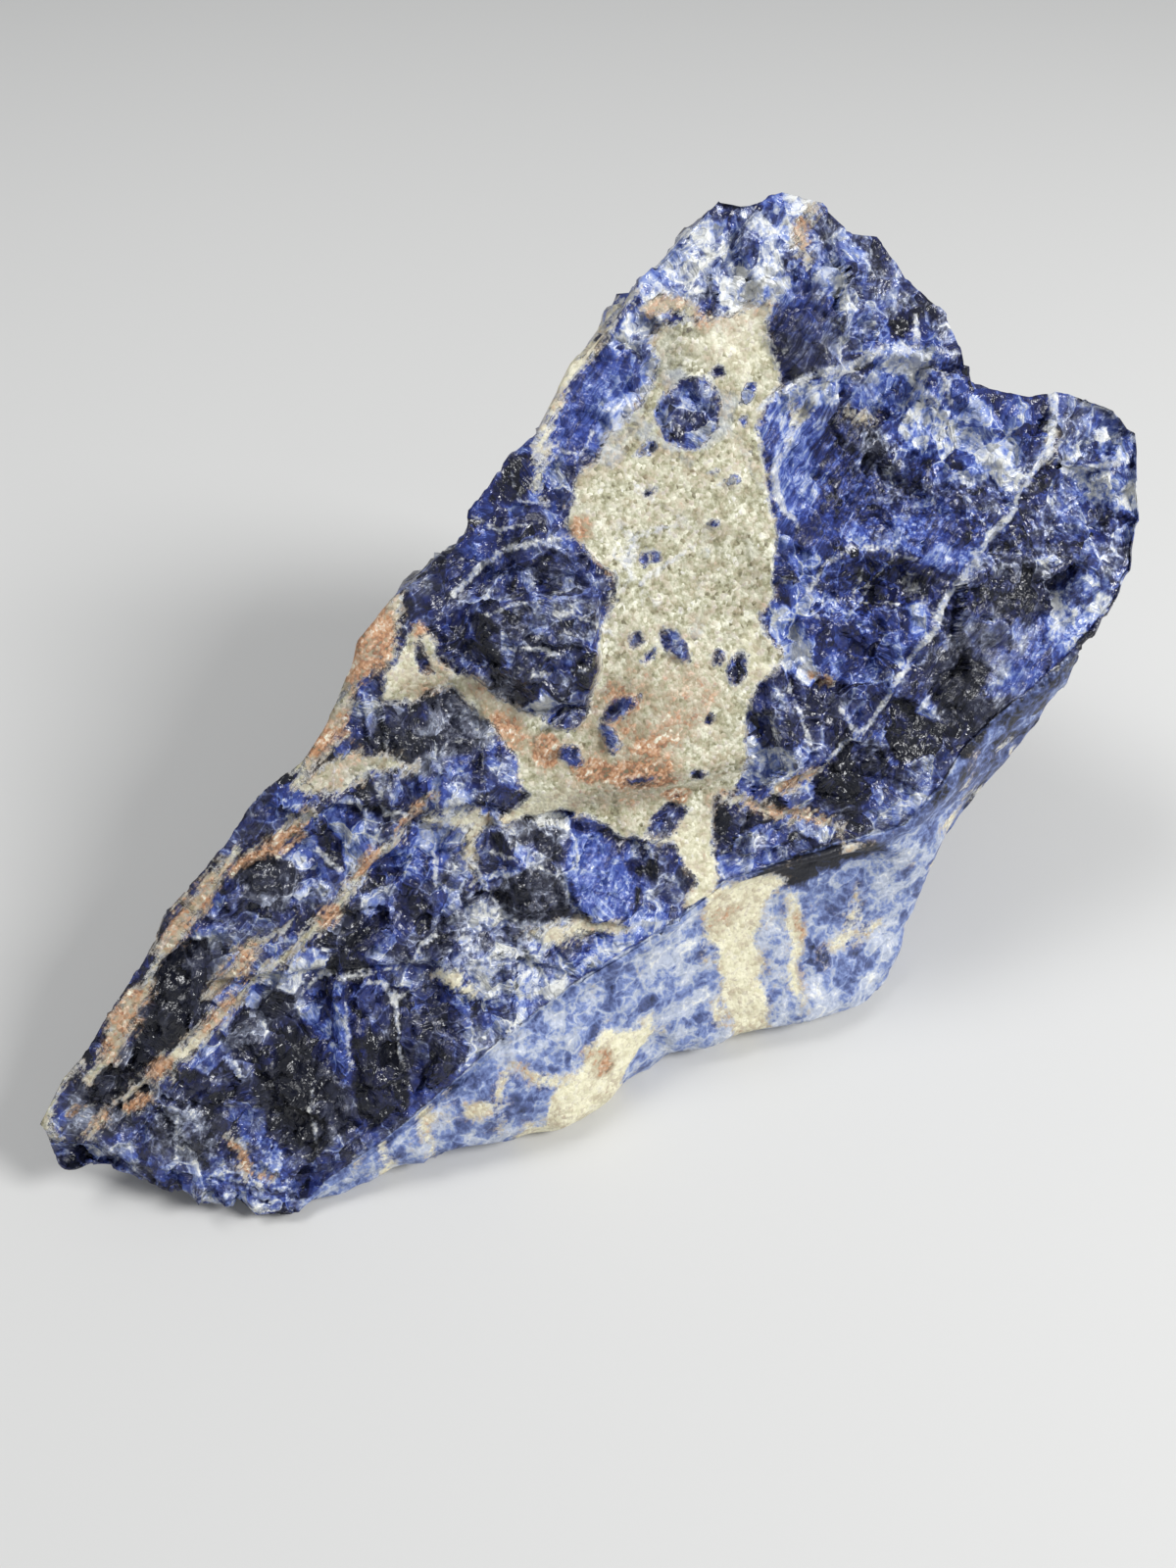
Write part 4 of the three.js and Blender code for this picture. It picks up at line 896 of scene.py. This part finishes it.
def vertex_normals(points, quads, triangles):
    """The cross product of each face's diagonals or two sides, added up over the faces round each
    vertex and brought to unit length."""
    total = np.zeros_like(points)
    for faces, sides in ((quads, ((0, 2), (1, 3))), (triangles, ((0, 1), (0, 2)))):
        area = np.cross(*(points[faces[:, end]] - points[faces[:, start]] for start, end in sides))
        for axis in range(3):
            weights = np.repeat(area[:, axis], faces.shape[1])
            total[:, axis] += np.bincount(faces.ravel(), weights, len(points))
    return total / np.linalg.norm(total, axis=1, keepdims=True)


def relief_share(form):
    """The share of the relief at every point: RIM_SHARE on the rim, growing to 1 on the face and
    down the flank, and back to nothing at the left tip, at the last level and on the flat spot."""
    flank = form.place >= 0
    grown = np.where(flank, smooth(form.ring, 0, 0.7), smooth(form.from_rim, 0, RIM_WIDTH))
    tip = smooth(np.minimum(form.place, len(EDGES) - form.place), 0, TIP_REACH)
    left = np.where(flank, (1 - smooth(form.ring, LEVELS - 1, LEVELS)) * tip, 1)
    left[-1] = 0
    return (RIM_SHARE + (1 - RIM_SHARE) * grown) * left


def crest_wear(form):
    """How far the crest is worn down: its depth on the crest, eased out to either side of it."""
    depth, width = CREST_WORN
    worn = smooth(form.along_crest, 2, 2.2) * (1 - smooth(form.along_crest, 2.85, 3))
    return depth * worn * (1 - smooth(form.from_crest, 0, width))


def stone_skin(fine):
    """The chunk's points in mm, faces and markings. Each point is a point of the bare form moved
    out along its normal by the relief, and fine is how much there is of the small relief."""
    form = bare_form()
    points, flank = form.points, form.place >= 0
    blocks, grains = crystals(points, *CRYSTALS), crystals(points, *GRAINS)
    marks = markings(form, blocks, grains)
    rough = np.where(flank, roughness(form.place), 1)
    crystal = 1 - (1 - VEIN_SHARE) * smooth(marks["vein"], -0.3, 0.3)
    calm = 1 - (1 - SIDE_SHARE) * marks["side"]

    cleaved = (SMOOTH_SHARE + (1 - SMOOTH_SHARE) * rough) * crystal
    relief = layered(points, WAVES, 0) + cleaved * blocks["height"]
    relief[flank] += (rough * crystals(points, *CHIPS)["height"])[flank]
    relief[:len(form.on_face)] += face_relief(*form.on_face.T)
    small = crystal * (grains["height"] + crystals(points, *PEBBLES)["height"])
    sand = layered(points, SAND, 70) * np.where(flank, SAND_FLANK, 1)
    crumbs = marks["side"] * smooth(form.ring, 1.9, 2.5) * layered(points, CRUMBS, 71)
    raised = SEAM_HEIGHT * smooth(marks["seam"], -0.3, 0.2)
    relief += fine * (calm * (small + sand) + crumbs + raised)

    relief = relief * relief_share(form) - crest_wear(form)
    points = points + relief[:, None] * vertex_normals(points, *form.faces)
    points[:, 2] = np.maximum(points[:, 2], 0)
    return points, *form.faces, marks


# ---------- Mesh in Blender ----------
def stone_mesh(name, points, quads, triangles, marks):
    """A mesh of the points in metres with its faces and one float attribute for each marking."""
    mesh = bpy.data.meshes.new(name)
    mesh.vertices.add(len(points))
    mesh.vertices.foreach_set("co", points.astype(np.float32).ravel())
    corners = np.concatenate((quads.ravel(), triangles.ravel()))
    mesh.loops.add(len(corners))
    mesh.loops.foreach_set("vertex_index", corners.astype(np.int32))
    starts = np.concatenate((np.arange(len(quads)) * 4, quads.size + np.arange(len(triangles)) * 3))
    mesh.polygons.add(len(starts))
    mesh.polygons.foreach_set("loop_start", starts.astype(np.int32))
    mesh.polygons.foreach_set("use_smooth", np.ones(len(starts), bool))
    for mark, values in marks.items():
        attribute = mesh.attributes.new(mark, "FLOAT", "POINT")
        attribute.data.foreach_set("value", values.astype(np.float32))
    mesh.update(calc_edges=True)
    mesh.validate()
    return mesh


def over_cad_box(points):
    """Metres, moved level so that the middle of the points' box is over the CAD solid's."""
    points = points * MILLIMETRE
    low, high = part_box("sodalite")
    middle = np.array(low + high) / 2
    own = (points.min(0) + points.max(0)) / 2
    points[:, :2] += (middle - own)[:2]
    return points


# ---------- Finish ----------
# Sizes in mm: how the ground bends, clouds, patches, grit; large and small crystals, the pale
# side's cells, the vein's grains and the painted glints.
SWIRL, CLOUD, PATCH, GRIT = 3, 2.2, 7, 0.6
LARGE, SMALL, MOSAIC, GRAIN, GLINT = 3.6, 1.3, 2.3, 0.52, 0.42
# Grain of the ground, in degrees from the face's length: fine streaks, slats, layers.
STREAK_TURN, SLAT_TURN, LAYER_TURN = 27, 62, 18
GREY = (0.5, 0.5, 0.5)


class Graph:
    """The nodes of one material. A value is a number, a colour or another node's output."""

    def __init__(self, material):
        material.use_nodes = True
        self.nodes = material.node_tree.nodes
        self.links = material.node_tree.links
        self.nodes.clear()

    def node(self, kind, inputs, **settings):
        """A shader node with its settings, and its inputs by name or number."""
        made = self.nodes.new("ShaderNode" + kind)
        for name, value in settings.items():
            setattr(made, name, value)
        for name, value in inputs.items():
            if isinstance(value, bpy.types.NodeSocket):
                self.links.new(value, made.inputs[name])
            else:
                made.inputs[name].default_value = value
        return made

    def maths(self, operation, first, second=0.0, third=0.0):
        """A step of arithmetic."""
        return self.node("Math", {0: first, 1: second, 2: third}, operation=operation).outputs[0]

    def times(self, first, second):
        """One value times the other."""
        return self.maths("MULTIPLY", first, second)

    def off_half(self, value):
        """How far a value is from a half, either way."""
        return self.maths("ABSOLUTE", self.maths("SUBTRACT", value, 0.5))

    def total(self, *terms):
        """The sum of each value times its weight, for terms that are (value, weight)."""
        result = 0.0
        for value, weight in terms:
            result = self.maths("MULTIPLY_ADD", value, weight, result)
        return result

    def ease(self, value, low, high, start=0.0, end=1.0):
        """From start to end as the value goes from low to high, eased at both."""
        inputs = {"Value": value, "From Min": low, "From Max": high, "To Min": start, "To Max": end}
        return self.node("MapRange", inputs, interpolation_type="SMOOTHSTEP").outputs[0]

    def vector(self, operation, first, second=(0.0, 0.0, 0.0)):
        """A step of arithmetic with vectors; a scale's second value is a number."""
        inputs = {0: first, "Scale" if operation == "SCALE" else 1: second}
        node = self.node("VectorMath", inputs, operation=operation)
        return node.outputs["Value" if operation == "DOT_PRODUCT" else "Vector"]

    def mix(self, factor, first, second):
        """The first colour where the factor is 0 and the second where it is 1."""
        return self.node("Mix", {0: factor, 6: first, 7: second}, data_type="RGBA").outputs[2]

    def mark(self, name):
        """One of the mesh's markings."""
        return self.node("Attribute", {}, attribute_name=name).outputs["Fac"]

    def noise(self, vector, size, detail=2.0, output="Fac"):
        """Noise of a size, about a half."""
        inputs = {"Vector": vector, "Scale": 1 / size, "Detail": detail, "Roughness": 0.6}
        return self.node("TexNoise", inputs).outputs[output]

    def cells(self, vector, size, feature="F1"):
        """Irregular cells of a size: their distance, colour and position."""
        return self.node("TexVoronoi", {"Vector": vector, "Scale": 1 / size}, feature=feature).outputs

    def ramp(self, value, stops):
        """Colours read off against a value, for stops that are (value, colour)."""
        low, high = stops[0][0], stops[-1][0]
        share = self.node("MapRange", {"Value": value, "From Min": low, "From Max": high}).outputs[0]
        node = self.node("ValToRGB", {0: share})
        elements = node.color_ramp.elements
        while len(elements) < len(stops):
            elements.new(0.5)
        for element, (at, colour) in zip(elements, stops):
            element.position = (at - low) / (high - low)
            element.color = (*colour, 1)
        return node.outputs[0]

    def chances(self, cells):
        """Three chances of each cell's own."""
        return self.node("SeparateColor", {0: cells["Color"]}).outputs

    def leaning(self, vector, cells):
        """A facet's height over its cell: how far the point is from the cell's own point, along a
        direction that the cell's colour gives."""
        offset = self.vector("SUBTRACT", vector, cells["Position"])
        return self.vector("DOT_PRODUCT", offset, self.vector("SUBTRACT", cells["Color"], GREY))

    def grooved(self, vector, cells):
        """The vector squeezed to 0.45 mm along a direction that each cell's colour gives and to
        3 mm across it, so that noise there has grooves of the cell's own lean."""
        way = self.vector("NORMALIZE", self.vector("SUBTRACT", cells["Color"], GREY))
        run = self.vector("DOT_PRODUCT", vector, way)
        squeezed = self.vector("SCALE", way, self.times(run, 1 / 0.45))
        return self.vector("ADD", self.vector("SCALE", vector, 1 / 3), squeezed)

    def lines_between(self, vector, size, width, mask):
        """1 on the borders of cells, out to the width in cell sizes, where the mask is high."""
        gap = self.cells(vector, size, "DISTANCE_TO_EDGE")["Distance"]
        return self.times(self.ease(gap, width * 0.3, width, 1.0, 0.0), mask)

    def drawn_out(self, vector, turn, sizes):
        """The vector in units of the sizes, the first along the face at the turn from its length,
        the second across that within the face, the third into the stone."""
        angle = math.radians(turn)
        run = math.cos(angle) * ALONG + math.sin(angle) * UP
        across = math.cos(angle) * UP - math.sin(angle) * ALONG
        parts = enumerate(zip((run, across, OUT), sizes))
        dots = {n: self.vector("DOT_PRODUCT", vector, tuple(way / size)) for n, (way, size) in parts}
        return self.node("CombineXYZ", dots).outputs[0]


class StoneGraph(Graph):
    """The stone's material. What its layers share is made first. Each layer has a measure of
    lightness, a weighted sum of noises and of its cells' own chances, that a ramp turns into
    its colours, and the layers are laid over each other by the markings."""

    def __init__(self, material, colours):
        super().__init__(material)
        self.colours = colours
        self.mm = self.vector("SCALE", self.node("TexCoord", {}).outputs["Object"], 1 / MILLIMETRE)
        swirl = self.vector("SUBTRACT", self.noise(self.mm, SWIRL, 2, "Color"), GREY)
        self.bent = self.vector("ADD", self.mm, self.vector("SCALE", swirl, 1.6))
        self.cloud = self.noise(self.mm, CLOUD, 4)
        self.patch = self.noise(self.mm, PATCH, 3)
        self.grit = self.noise(self.mm, GRIT, 2)
        self.side, self.shade, streak = self.mark("side"), self.mark("shade"), self.mark("streak")
        streaks = self.noise(self.drawn_out(self.bent, STREAK_TURN, (9, 0.6, 4)), 1, 3)
        self.streaks = self.times(self.maths("SUBTRACT", streaks, 0.5), streak)
        self.calm = self.ease(streak, 0.0, 1.0, 1.0, 0.4)
        self.large, self.small = self.cells(self.bent, LARGE), self.cells(self.bent, SMALL)
        self.grooves = self.noise(self.grooved(self.bent, self.large), 1, 2)
        self.grains = self.cells(self.mm, GRAIN)
        self.grain = self.chances(self.grains)
        self.layers = self.noise(self.drawn_out(self.mm, LAYER_TURN, (5, 0.8, 2)), 1, 2)

    def crystal_light(self):
        """The crystals' lightness: cells that differ, graded along their lean as painted reflection,
        grooves, thin lines on their borders and across them, scuffs, grit, painted glints among white
        specks, and the marked shades, some of them painted shade."""
        large = self.chances(self.large)
        clear = self.ease(self.shade, -0.9, -0.1, 0.2, 1.0)
        slats = self.cells(self.drawn_out(self.bent, SLAT_TURN, (6.5, 1.9, 3.5)), 1)
        glow = self.noise(self.drawn_out(self.mm, SLAT_TURN, (7, 3.5, 4)), 1, 2)
        cracks = self.lines_between(self.bent, LARGE, 0.07, self.ease(self.patch, 0.44, 0.58))
        hairs = self.ease(self.off_half(self.noise(self.bent, 1.7, 2)), 0.01, 0.04, 1.0, 0.0)
        hairs = self.times(hairs, self.ease(self.cloud, 0.45, 0.6))
        lines = self.times(self.total((cracks, 0.55), (hairs, 0.4)), clear)
        scuffs = self.times(self.ease(self.grooves, 0.57, 0.72), self.ease(large[1], 0.35, 0.7))
        # Painted glints: sparse bright specks that stand for sparkle off small facets, some of them
        # white grains; fewer on dark crystals.
        speckle, glint_chance = self.mark("speckle"), self.chances(self.cells(self.mm, GLINT))[0]
        painted_glints = self.total((glint_chance, 1.0), (speckle, 0.06), (self.cloud, 0.3), (1.0, -0.15))
        painted_glints = self.times(self.ease(painted_glints, 0.98, 1.01), clear)
        gritty = self.times(self.maths("SUBTRACT", self.noise(self.mm, 0.95, 2), 0.5), speckle)
        # Each cell's lean grades its lightness too: a painted reflection, as off a tilted facet.
        texture = self.total(
            (large[0], 0.55), (self.chances(self.small)[0], 0.4), (self.chances(slats)[0], 0.5),
            (self.leaning(self.bent, self.large), 0.35), (self.leaning(self.bent, self.small), 0.45),
            (glow, 1.2), (self.cloud, 0.4), (self.grooves, 0.9), (scuffs, 0.4), (self.grit, 0.3),
            (1.0, -2.16),
        )
        return self.total(
            (self.times(texture, self.calm), 1.0), (self.shade, 1.15), (self.streaks, 2.9),
            (self.times(lines, self.calm), 1.0), (painted_glints, 0.5), (gritty, 2.6), (1.0, -0.06),
        )

    def crystals(self):
        """Blue crystals that turn greyish in patches and where the tint is low."""
        colours, light = self.colours, self.crystal_light()
        vivid = self.ramp(light, (
            (-1.0, colours.black), (-0.45, colours.navy), (0.0, colours.deep), (0.4, colours.royal),
            (0.72, colours.periwinkle), (1.2, colours.lavender), (1.8, colours.white),
        ))
        dull = self.ramp(light, (
            (-1.0, colours.black), (-0.3, colours.smoke), (0.25, colours.ash), (0.8, colours.mist),
            (1.4, colours.white),
        ))
        greyed = self.total(
            (self.mark("tint"), -0.7), (self.cloud, 1.6), (self.patch, 1.2), (self.grit, 0.5),
            (1.0, -1.35),
        )
        return self.mix(self.ease(greyed, 0.0, 0.75), vivid, dull)

    def pale_side(self, body):
        """The pale, cloudy side with the faint net of its crystals."""
        colours, mosaic = self.colours, self.cells(self.bent, MOSAIC)
        blotch, net = self.noise(self.bent, 3.6, 4), self.off_half(self.noise(self.bent, 2.6, 2))
        pale = self.total(
            (blotch, 1.8), (self.noise(self.mm, 1.1, 3), 0.8), (self.grit, 0.3), (self.patch, 0.8),
            (self.ease(net, 0.0, 0.06, 1.0, 0.0), 0.14), (self.shade, 0.6), (1.0, -2.13),
            (self.chances(mosaic)[0], 0.34), (self.lines_between(self.bent, MOSAIC, 0.16, 1.0), 0.16),
        )
        tones = self.ramp(pale, (
            (-0.9, colours.black), (-0.45, colours.slate), (-0.17, colours.dusty),
            (0.05, colours.haze), (0.26, colours.lavender), (0.5, colours.white),
        ))
        over = self.total((self.side, 1.1), (self.cloud, 1.2), (self.grit, 0.6), (1.0, -1.02))
        return self.mix(self.ease(over, 0.3, 0.7), body, tones)

    def vein_tones(self):
        """The vein's glassy and dark grains, creamier or hazier in places."""
        colours, grain, cream = self.colours, self.grain, self.mark("cream")
        glassy = self.total(
            (grain[0], 0.35), (self.ease(grain[1], 0.78, 0.93), 0.5),
            (self.ease(grain[2], 0.9, 0.97), -0.3), (self.noise(self.mm, 1.2, 4), 1.5),
            (self.grit, 0.5), (self.patch, 0.5), (cream, 0.25), (1.0, -1.38),
        )
        tones = self.ramp(glassy, (
            (-0.5, colours.vein_gap), (-0.12, colours.vein_dark), (0.14, colours.vein),
            (0.42, colours.vein_light), (0.8, colours.white),
        ))
        creamy = self.maths("MAXIMUM", self.times(cream, 0.6), 0.0)
        tones = self.mix(creamy, tones, (*colours.cream, 1))
        smear = self.total((self.noise(self.mm, 4.5, 4), 1.0), (cream, -0.22), (1.0, -0.06))
        return self.mix(self.ease(smear, 0.55, 0.72, 0.0, 0.5), tones, (*colours.haze, 1))

    def vein(self, body):
        """The vein laid over the body with a ragged, pale rim that is feathered where it is
        soft, then how far in from that rim a point lies and how much of the vein it has."""
        soft = self.mark("soft")
        feathered = self.times(soft, self.total((self.layers, 3.6), (1.0, -1.95)))
        ragged = self.total(
            (self.mark("vein"), 1.0), (self.cloud, 2.2), (self.grit, 1.5), (self.grain[0], 0.3),
            (feathered, 1.0), (1.0, -2.1),
        )
        rim = self.ease(self.maths("ABSOLUTE", ragged), 0.15, 0.5, 0.5, 0.0)
        reach = self.total((soft, 0.5), (1.0, 0.18))
        vein = self.ease(ragged, self.times(reach, -1.0), reach)
        vein = self.total((vein, 1.0), (self.times(vein, soft), -0.15))
        body = self.mix(vein, body, self.vein_tones())
        return self.mix(rim, body, (*self.colours.seam, 1)), ragged, vein

    def stains(self, body, ragged):
        """Orange stains with a tan halo, on the vein and close to it."""
        colours = self.colours
        stained = self.total(
            (self.mark("stain"), 1.3), (self.cloud, 2.4), (self.patch, 1.6), (self.grit, 1.6),
            (self.grain[1], 0.7), (1.0, -3.7),
        )
        near = self.ease(ragged, -1.1, 0.3)
        halo = self.times(self.ease(stained, -0.85, 0.2, 0.0, 0.65), near)
        body = self.mix(halo, body, (*colours.tan, 1))
        rusty = self.total(
            (self.grain[2], 0.5), (self.grit, 1.0), (self.cloud, 0.9), (self.layers, 1.3),
            (1.0, -1.85),
        )
        rust = self.ramp(rusty, (
            (-0.4, colours.vein_gap), (-0.2, colours.rust), (0.05, colours.orange),
            (0.28, colours.peach), (0.5, colours.vein_light),
        ))
        core = self.times(self.ease(stained, 0.0, 0.8, 0.0, 0.85), near)
        return self.mix(core, body, rust)

    def seams(self, body):
        """Milky white seams."""
        colours = self.colours
        thread = self.total((self.mark("seam"), 1.0), (self.cloud, 1.1), (self.grit, 0.9), (1.0, -1.15))
        milk = self.total((self.cloud, 1.0), (self.grit, 1.0), (self.grain[0], 0.4), (1.0, -1.2))
        milky = self.ramp(milk, (
            (-0.35, colours.periwinkle), (-0.12, colours.lavender), (0.05, colours.seam),
            (0.3, colours.white),
        ))
        return self.mix(self.ease(thread, -0.35, 0.15, 0.0, 0.85), body, milky)

    def bumps(self, stony):
        """Leaning facets and grooves on crystals, and sand on the vein and the pale side."""
        facets = self.total(
            (self.leaning(self.bent, self.large), 0.6), (self.leaning(self.bent, self.small), 1.0),
            (self.grooves, 0.25),
        )
        facets = self.total((self.times(facets, self.calm), 1.0), (self.streaks, 0.8), (self.grit, 0.1))
        sand = self.total((self.grains["Distance"], -0.07), (self.grit, 0.07), (self.cloud, 0.2))
        height = self.total(
            (self.times(facets, self.ease(stony, 0, 1, 1.0, 0.12)), 1.0),
            (self.times(sand, stony), 1.0),
        )
        inputs = {"Height": height, "Distance": MILLIMETRE, "Strength": 1.0}
        return self.node("Bump", inputs).outputs[0]

    def finish(self):
        """All the layers from the crystals up, the bumps and the shader."""
        body, ragged, vein = self.vein(self.pale_side(self.crystals()))
        body = self.seams(self.stains(body, ragged))
        stony = self.maths("MAXIMUM", vein, self.times(self.side, 0.8))
        rough = self.total((stony, 0.3), (self.cloud, 0.4), (1.0, 0.02))
        inputs = {"Base Color": body, "Roughness": rough, "Normal": self.bumps(stony)}
        shader = self.node("BsdfPrincipled", inputs)
        shader.inputs["Metallic"].default_value = 0.0
        shader.inputs["IOR"].default_value = 1.49
        self.node("OutputMaterial", {"Surface": shader.outputs[0]})


def stone_finish(colours):
    """The material of the whole stone."""
    material = bpy.data.materials.new("sodalite_stone")
    StoneGraph(material, colours).finish()
    return material


# ---------- Settings ----------
def colour(name, description, default):
    """A colour setting in linear red, green and blue."""
    return FloatVectorProperty(
        name=name, description=description, default=default, subtype="COLOR", size=3, min=0, max=1
    )


class SodaliteColours(bpy.types.PropertyGroup):
    """Colours of the stone's minerals."""

    black: colour("Black", "Darkest crystals", (0.008, 0.009, 0.016))
    navy: colour("Navy", "Dark crystals", (0.014, 0.017, 0.07))
    deep: colour("Deep blue", "Most crystals", (0.024, 0.037, 0.175))
    royal: colour("Royal blue", "Lit crystals", (0.06, 0.1, 0.385))
    periwinkle: colour("Periwinkle", "Thin, cloudy crystals", (0.19, 0.265, 0.58))
    lavender: colour("Lavender", "Crushed crystals", (0.54, 0.59, 0.72))
    white: colour("White", "Bright grains", (0.82, 0.83, 0.8))
    smoke: colour("Smoke", "Dark greyish crystals", (0.028, 0.031, 0.056))
    ash: colour("Ash", "Greyish crystals", (0.13, 0.14, 0.19))
    mist: colour("Mist", "Light greyish crystals", (0.36, 0.4, 0.52))
    slate: colour("Slate", "Shaded part of the pale side", (0.08, 0.11, 0.27))
    dusty: colour("Dusty blue", "Bluer part of the pale side", (0.21, 0.28, 0.54))
    haze: colour("Haze", "Most of the pale side", (0.45, 0.5, 0.61))
    seam: colour("Seam", "White seams", (0.6, 0.62, 0.66))
    vein_gap: colour("Vein gaps", "Between the vein's grains", (0.16, 0.14, 0.08))
    vein_dark: colour("Vein, dark", "Darker grains of the vein", (0.4, 0.39, 0.25))
    vein: colour("Vein", "Most grains of the vein", (0.6, 0.59, 0.45))
    vein_light: colour("Vein, light", "Lighter grains of the vein", (0.9, 0.89, 0.72))
    cream: colour("Cream", "Creamy patches", (0.95, 0.89, 0.62))
    tan: colour("Tan", "Ground round the stains", (0.38, 0.29, 0.19))
    rust: colour("Rust", "Darkest stains", (0.3, 0.11, 0.05))
    orange: colour("Orange", "Stains", (0.54, 0.27, 0.13))
    peach: colour("Peach", "Lightest stains", (0.68, 0.46, 0.32))


class SodaliteSettings(bpy.types.PropertyGroup):
    """Sizes of the stone's fine relief, and of its stage."""

    fine_relief: FloatProperty(
        name="Fine relief", description="How strongly the small crystals stand out", default=1.0,
        min=0, max=2, subtype="FACTOR",
    )
    floor: colour("Floor", "Colour of the floor", (0.62, 0.62, 0.61))
    floor_size: FloatProperty(
        name="Floor size", description="Length of the floor's sides", default=6.0, min=1,
        unit="LENGTH",
    )
    key_power: FloatProperty(
        name="Key light", description="Power of the light at the right", default=5.0, min=0,
        unit="POWER",
    )
    sky: FloatProperty(name="Sky", description="Strength of the light all round", default=0.34, min=0)
    lens: FloatProperty(
        name="Lens", description="Focal length of the camera", default=29.25, min=1,
        unit="CAMERA",
    )


# ---------- Stage ----------
CAMERA_AT = (-0.04633, -0.11728, 0.17236)
CAMERA_TURN = 25  # degrees that it looks to the right of straight back
CAMERA_DIP = 50  # degrees that it looks down
LIT = (0, 0, 0.04)  # what the lamps are turned to
KEY_AT, KEY_SIZE = (0.42, -0.38, 0.55), 0.22
TOP_AT, TOP_SIZE, TOP_SHARE = (-0.25, 0.2, 0.7), 0.3, 0.45
SKY_COLOUR = (0.95, 0.97, 1, 1)


def lay_floor(scene, settings):
    """A plain square floor under the stone."""
    half = settings.floor_size / 2
    mesh = bpy.data.meshes.new("floor")
    corners = [(-half, -half, 0), (half, -half, 0), (half, half, 0), (-half, half, 0)]
    mesh.from_pydata(corners, [], [(0, 1, 2, 3)])
    material = bpy.data.materials.new("pale_floor")
    graph = Graph(material)
    shader = graph.node("BsdfPrincipled", {"Base Color": (*settings.floor, 1), "Roughness": 0.9})
    graph.node("OutputMaterial", {"Surface": shader.outputs[0]})
    mesh.materials.append(material)
    floor = bpy.data.objects.new("floor", mesh)
    scene.collection.objects.link(floor)


def light_room(scene, settings):
    """The even light from all round."""
    world = bpy.data.worlds.new("soft_room")
    world.use_nodes = True
    sky = world.node_tree.nodes["Background"]
    sky.inputs["Color"].default_value = SKY_COLOUR
    sky.inputs["Strength"].default_value = settings.sky
    scene.world = world


def area_light(scene, name, place, size, power):
    """A square lamp at a place, turned to look at the stone."""
    lamp = bpy.data.lights.new(name, "AREA")
    lamp.size = size
    lamp.energy = power
    made = bpy.data.objects.new(name, lamp)
    made.location = place
    made.rotation_euler = (Vector(LIT) - Vector(place)).to_track_quat("-Z", "Y").to_euler()
    scene.collection.objects.link(made)


def place_camera(scene, settings):
    """The camera, turned and dipped to look down at the fracture face."""
    turn, dip = math.radians(CAMERA_TURN), math.radians(CAMERA_DIP)
    level = math.cos(dip)
    ahead = Vector((math.sin(turn) * level, math.cos(turn) * level, -math.sin(dip)))
    lens = bpy.data.cameras.new("camera")
    lens.lens = settings.lens
    lens.clip_start = 0.01
    camera = bpy.data.objects.new("camera", lens)
    camera.location = CAMERA_AT
    camera.rotation_euler = ahead.to_track_quat("-Z", "Y").to_euler()
    scene.collection.objects.link(camera)
    scene.camera = camera


# ---------- Operators ----------
class MESH_OT_sodalite_stone(bpy.types.Operator):
    """Build the broken chunk with its crystals, vein and stains"""

    bl_idname = "mesh.sodalite_stone"
    bl_label = "Sodalite stone"

    def execute(self, context):
        points, quads, triangles, marks = stone_skin(context.scene.sodalite.fine_relief)
        mesh = stone_mesh("sodalite_chunk", over_cad_box(points), quads, triangles, marks)
        mesh.materials.append(stone_finish(context.scene.sodalite_colours))
        stone = bpy.data.objects.new("sodalite_chunk", mesh)
        context.scene.collection.objects.link(stone)
        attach(stone, "root")
        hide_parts("sodalite")
        return {"FINISHED"}


class SCENE_OT_sodalite_stage(bpy.types.Operator):
    """Build the floor, the lights and the camera"""

    bl_idname = "scene.sodalite_stage"
    bl_label = "Sodalite stage"

    def execute(self, context):
        scene, settings = context.scene, context.scene.sodalite
        lay_floor(scene, settings)
        light_room(scene, settings)
        area_light(scene, "key", KEY_AT, KEY_SIZE, settings.key_power)
        area_light(scene, "top", TOP_AT, TOP_SIZE, settings.key_power * TOP_SHARE)
        place_camera(scene, settings)
        scene.view_settings.view_transform = "Standard"
        return {"FINISHED"}


class VIEW3D_PT_sodalite(bpy.types.Panel):
    """Settings and operators of the stone and its stage"""

    bl_idname = "VIEW3D_PT_sodalite"
    bl_label = "Sodalite"
    bl_space_type = "VIEW_3D"
    bl_region_type = "UI"
    bl_category = "Sodalite"

    def draw(self, context):
        column = self.layout.column()
        for group in (context.scene.sodalite, context.scene.sodalite_colours):
            for name in group.__annotations__:
                column.prop(group, name)
        for operator in OPERATORS:
            column.operator(operator.bl_idname)


OPERATORS = (MESH_OT_sodalite_stone, SCENE_OT_sodalite_stage)
CLASSES = (SodaliteColours, SodaliteSettings, *OPERATORS, VIEW3D_PT_sodalite)


def register():
    """Add the classes, and the settings to every scene."""
    for cls in CLASSES:
        bpy.utils.register_class(cls)
    bpy.types.Scene.sodalite = PointerProperty(type=SodaliteSettings)
    bpy.types.Scene.sodalite_colours = PointerProperty(type=SodaliteColours)


def unregister():
    """Take the settings and the classes away again."""
    del bpy.types.Scene.sodalite_colours
    del bpy.types.Scene.sodalite
    for cls in reversed(CLASSES):
        bpy.utils.unregister_class(cls)


def main():
    """Build everything in order."""
    register()
    bpy.ops.mesh.sodalite_stone()
    bpy.ops.scene.sodalite_stage()


if __name__ == "__main__":
    main()
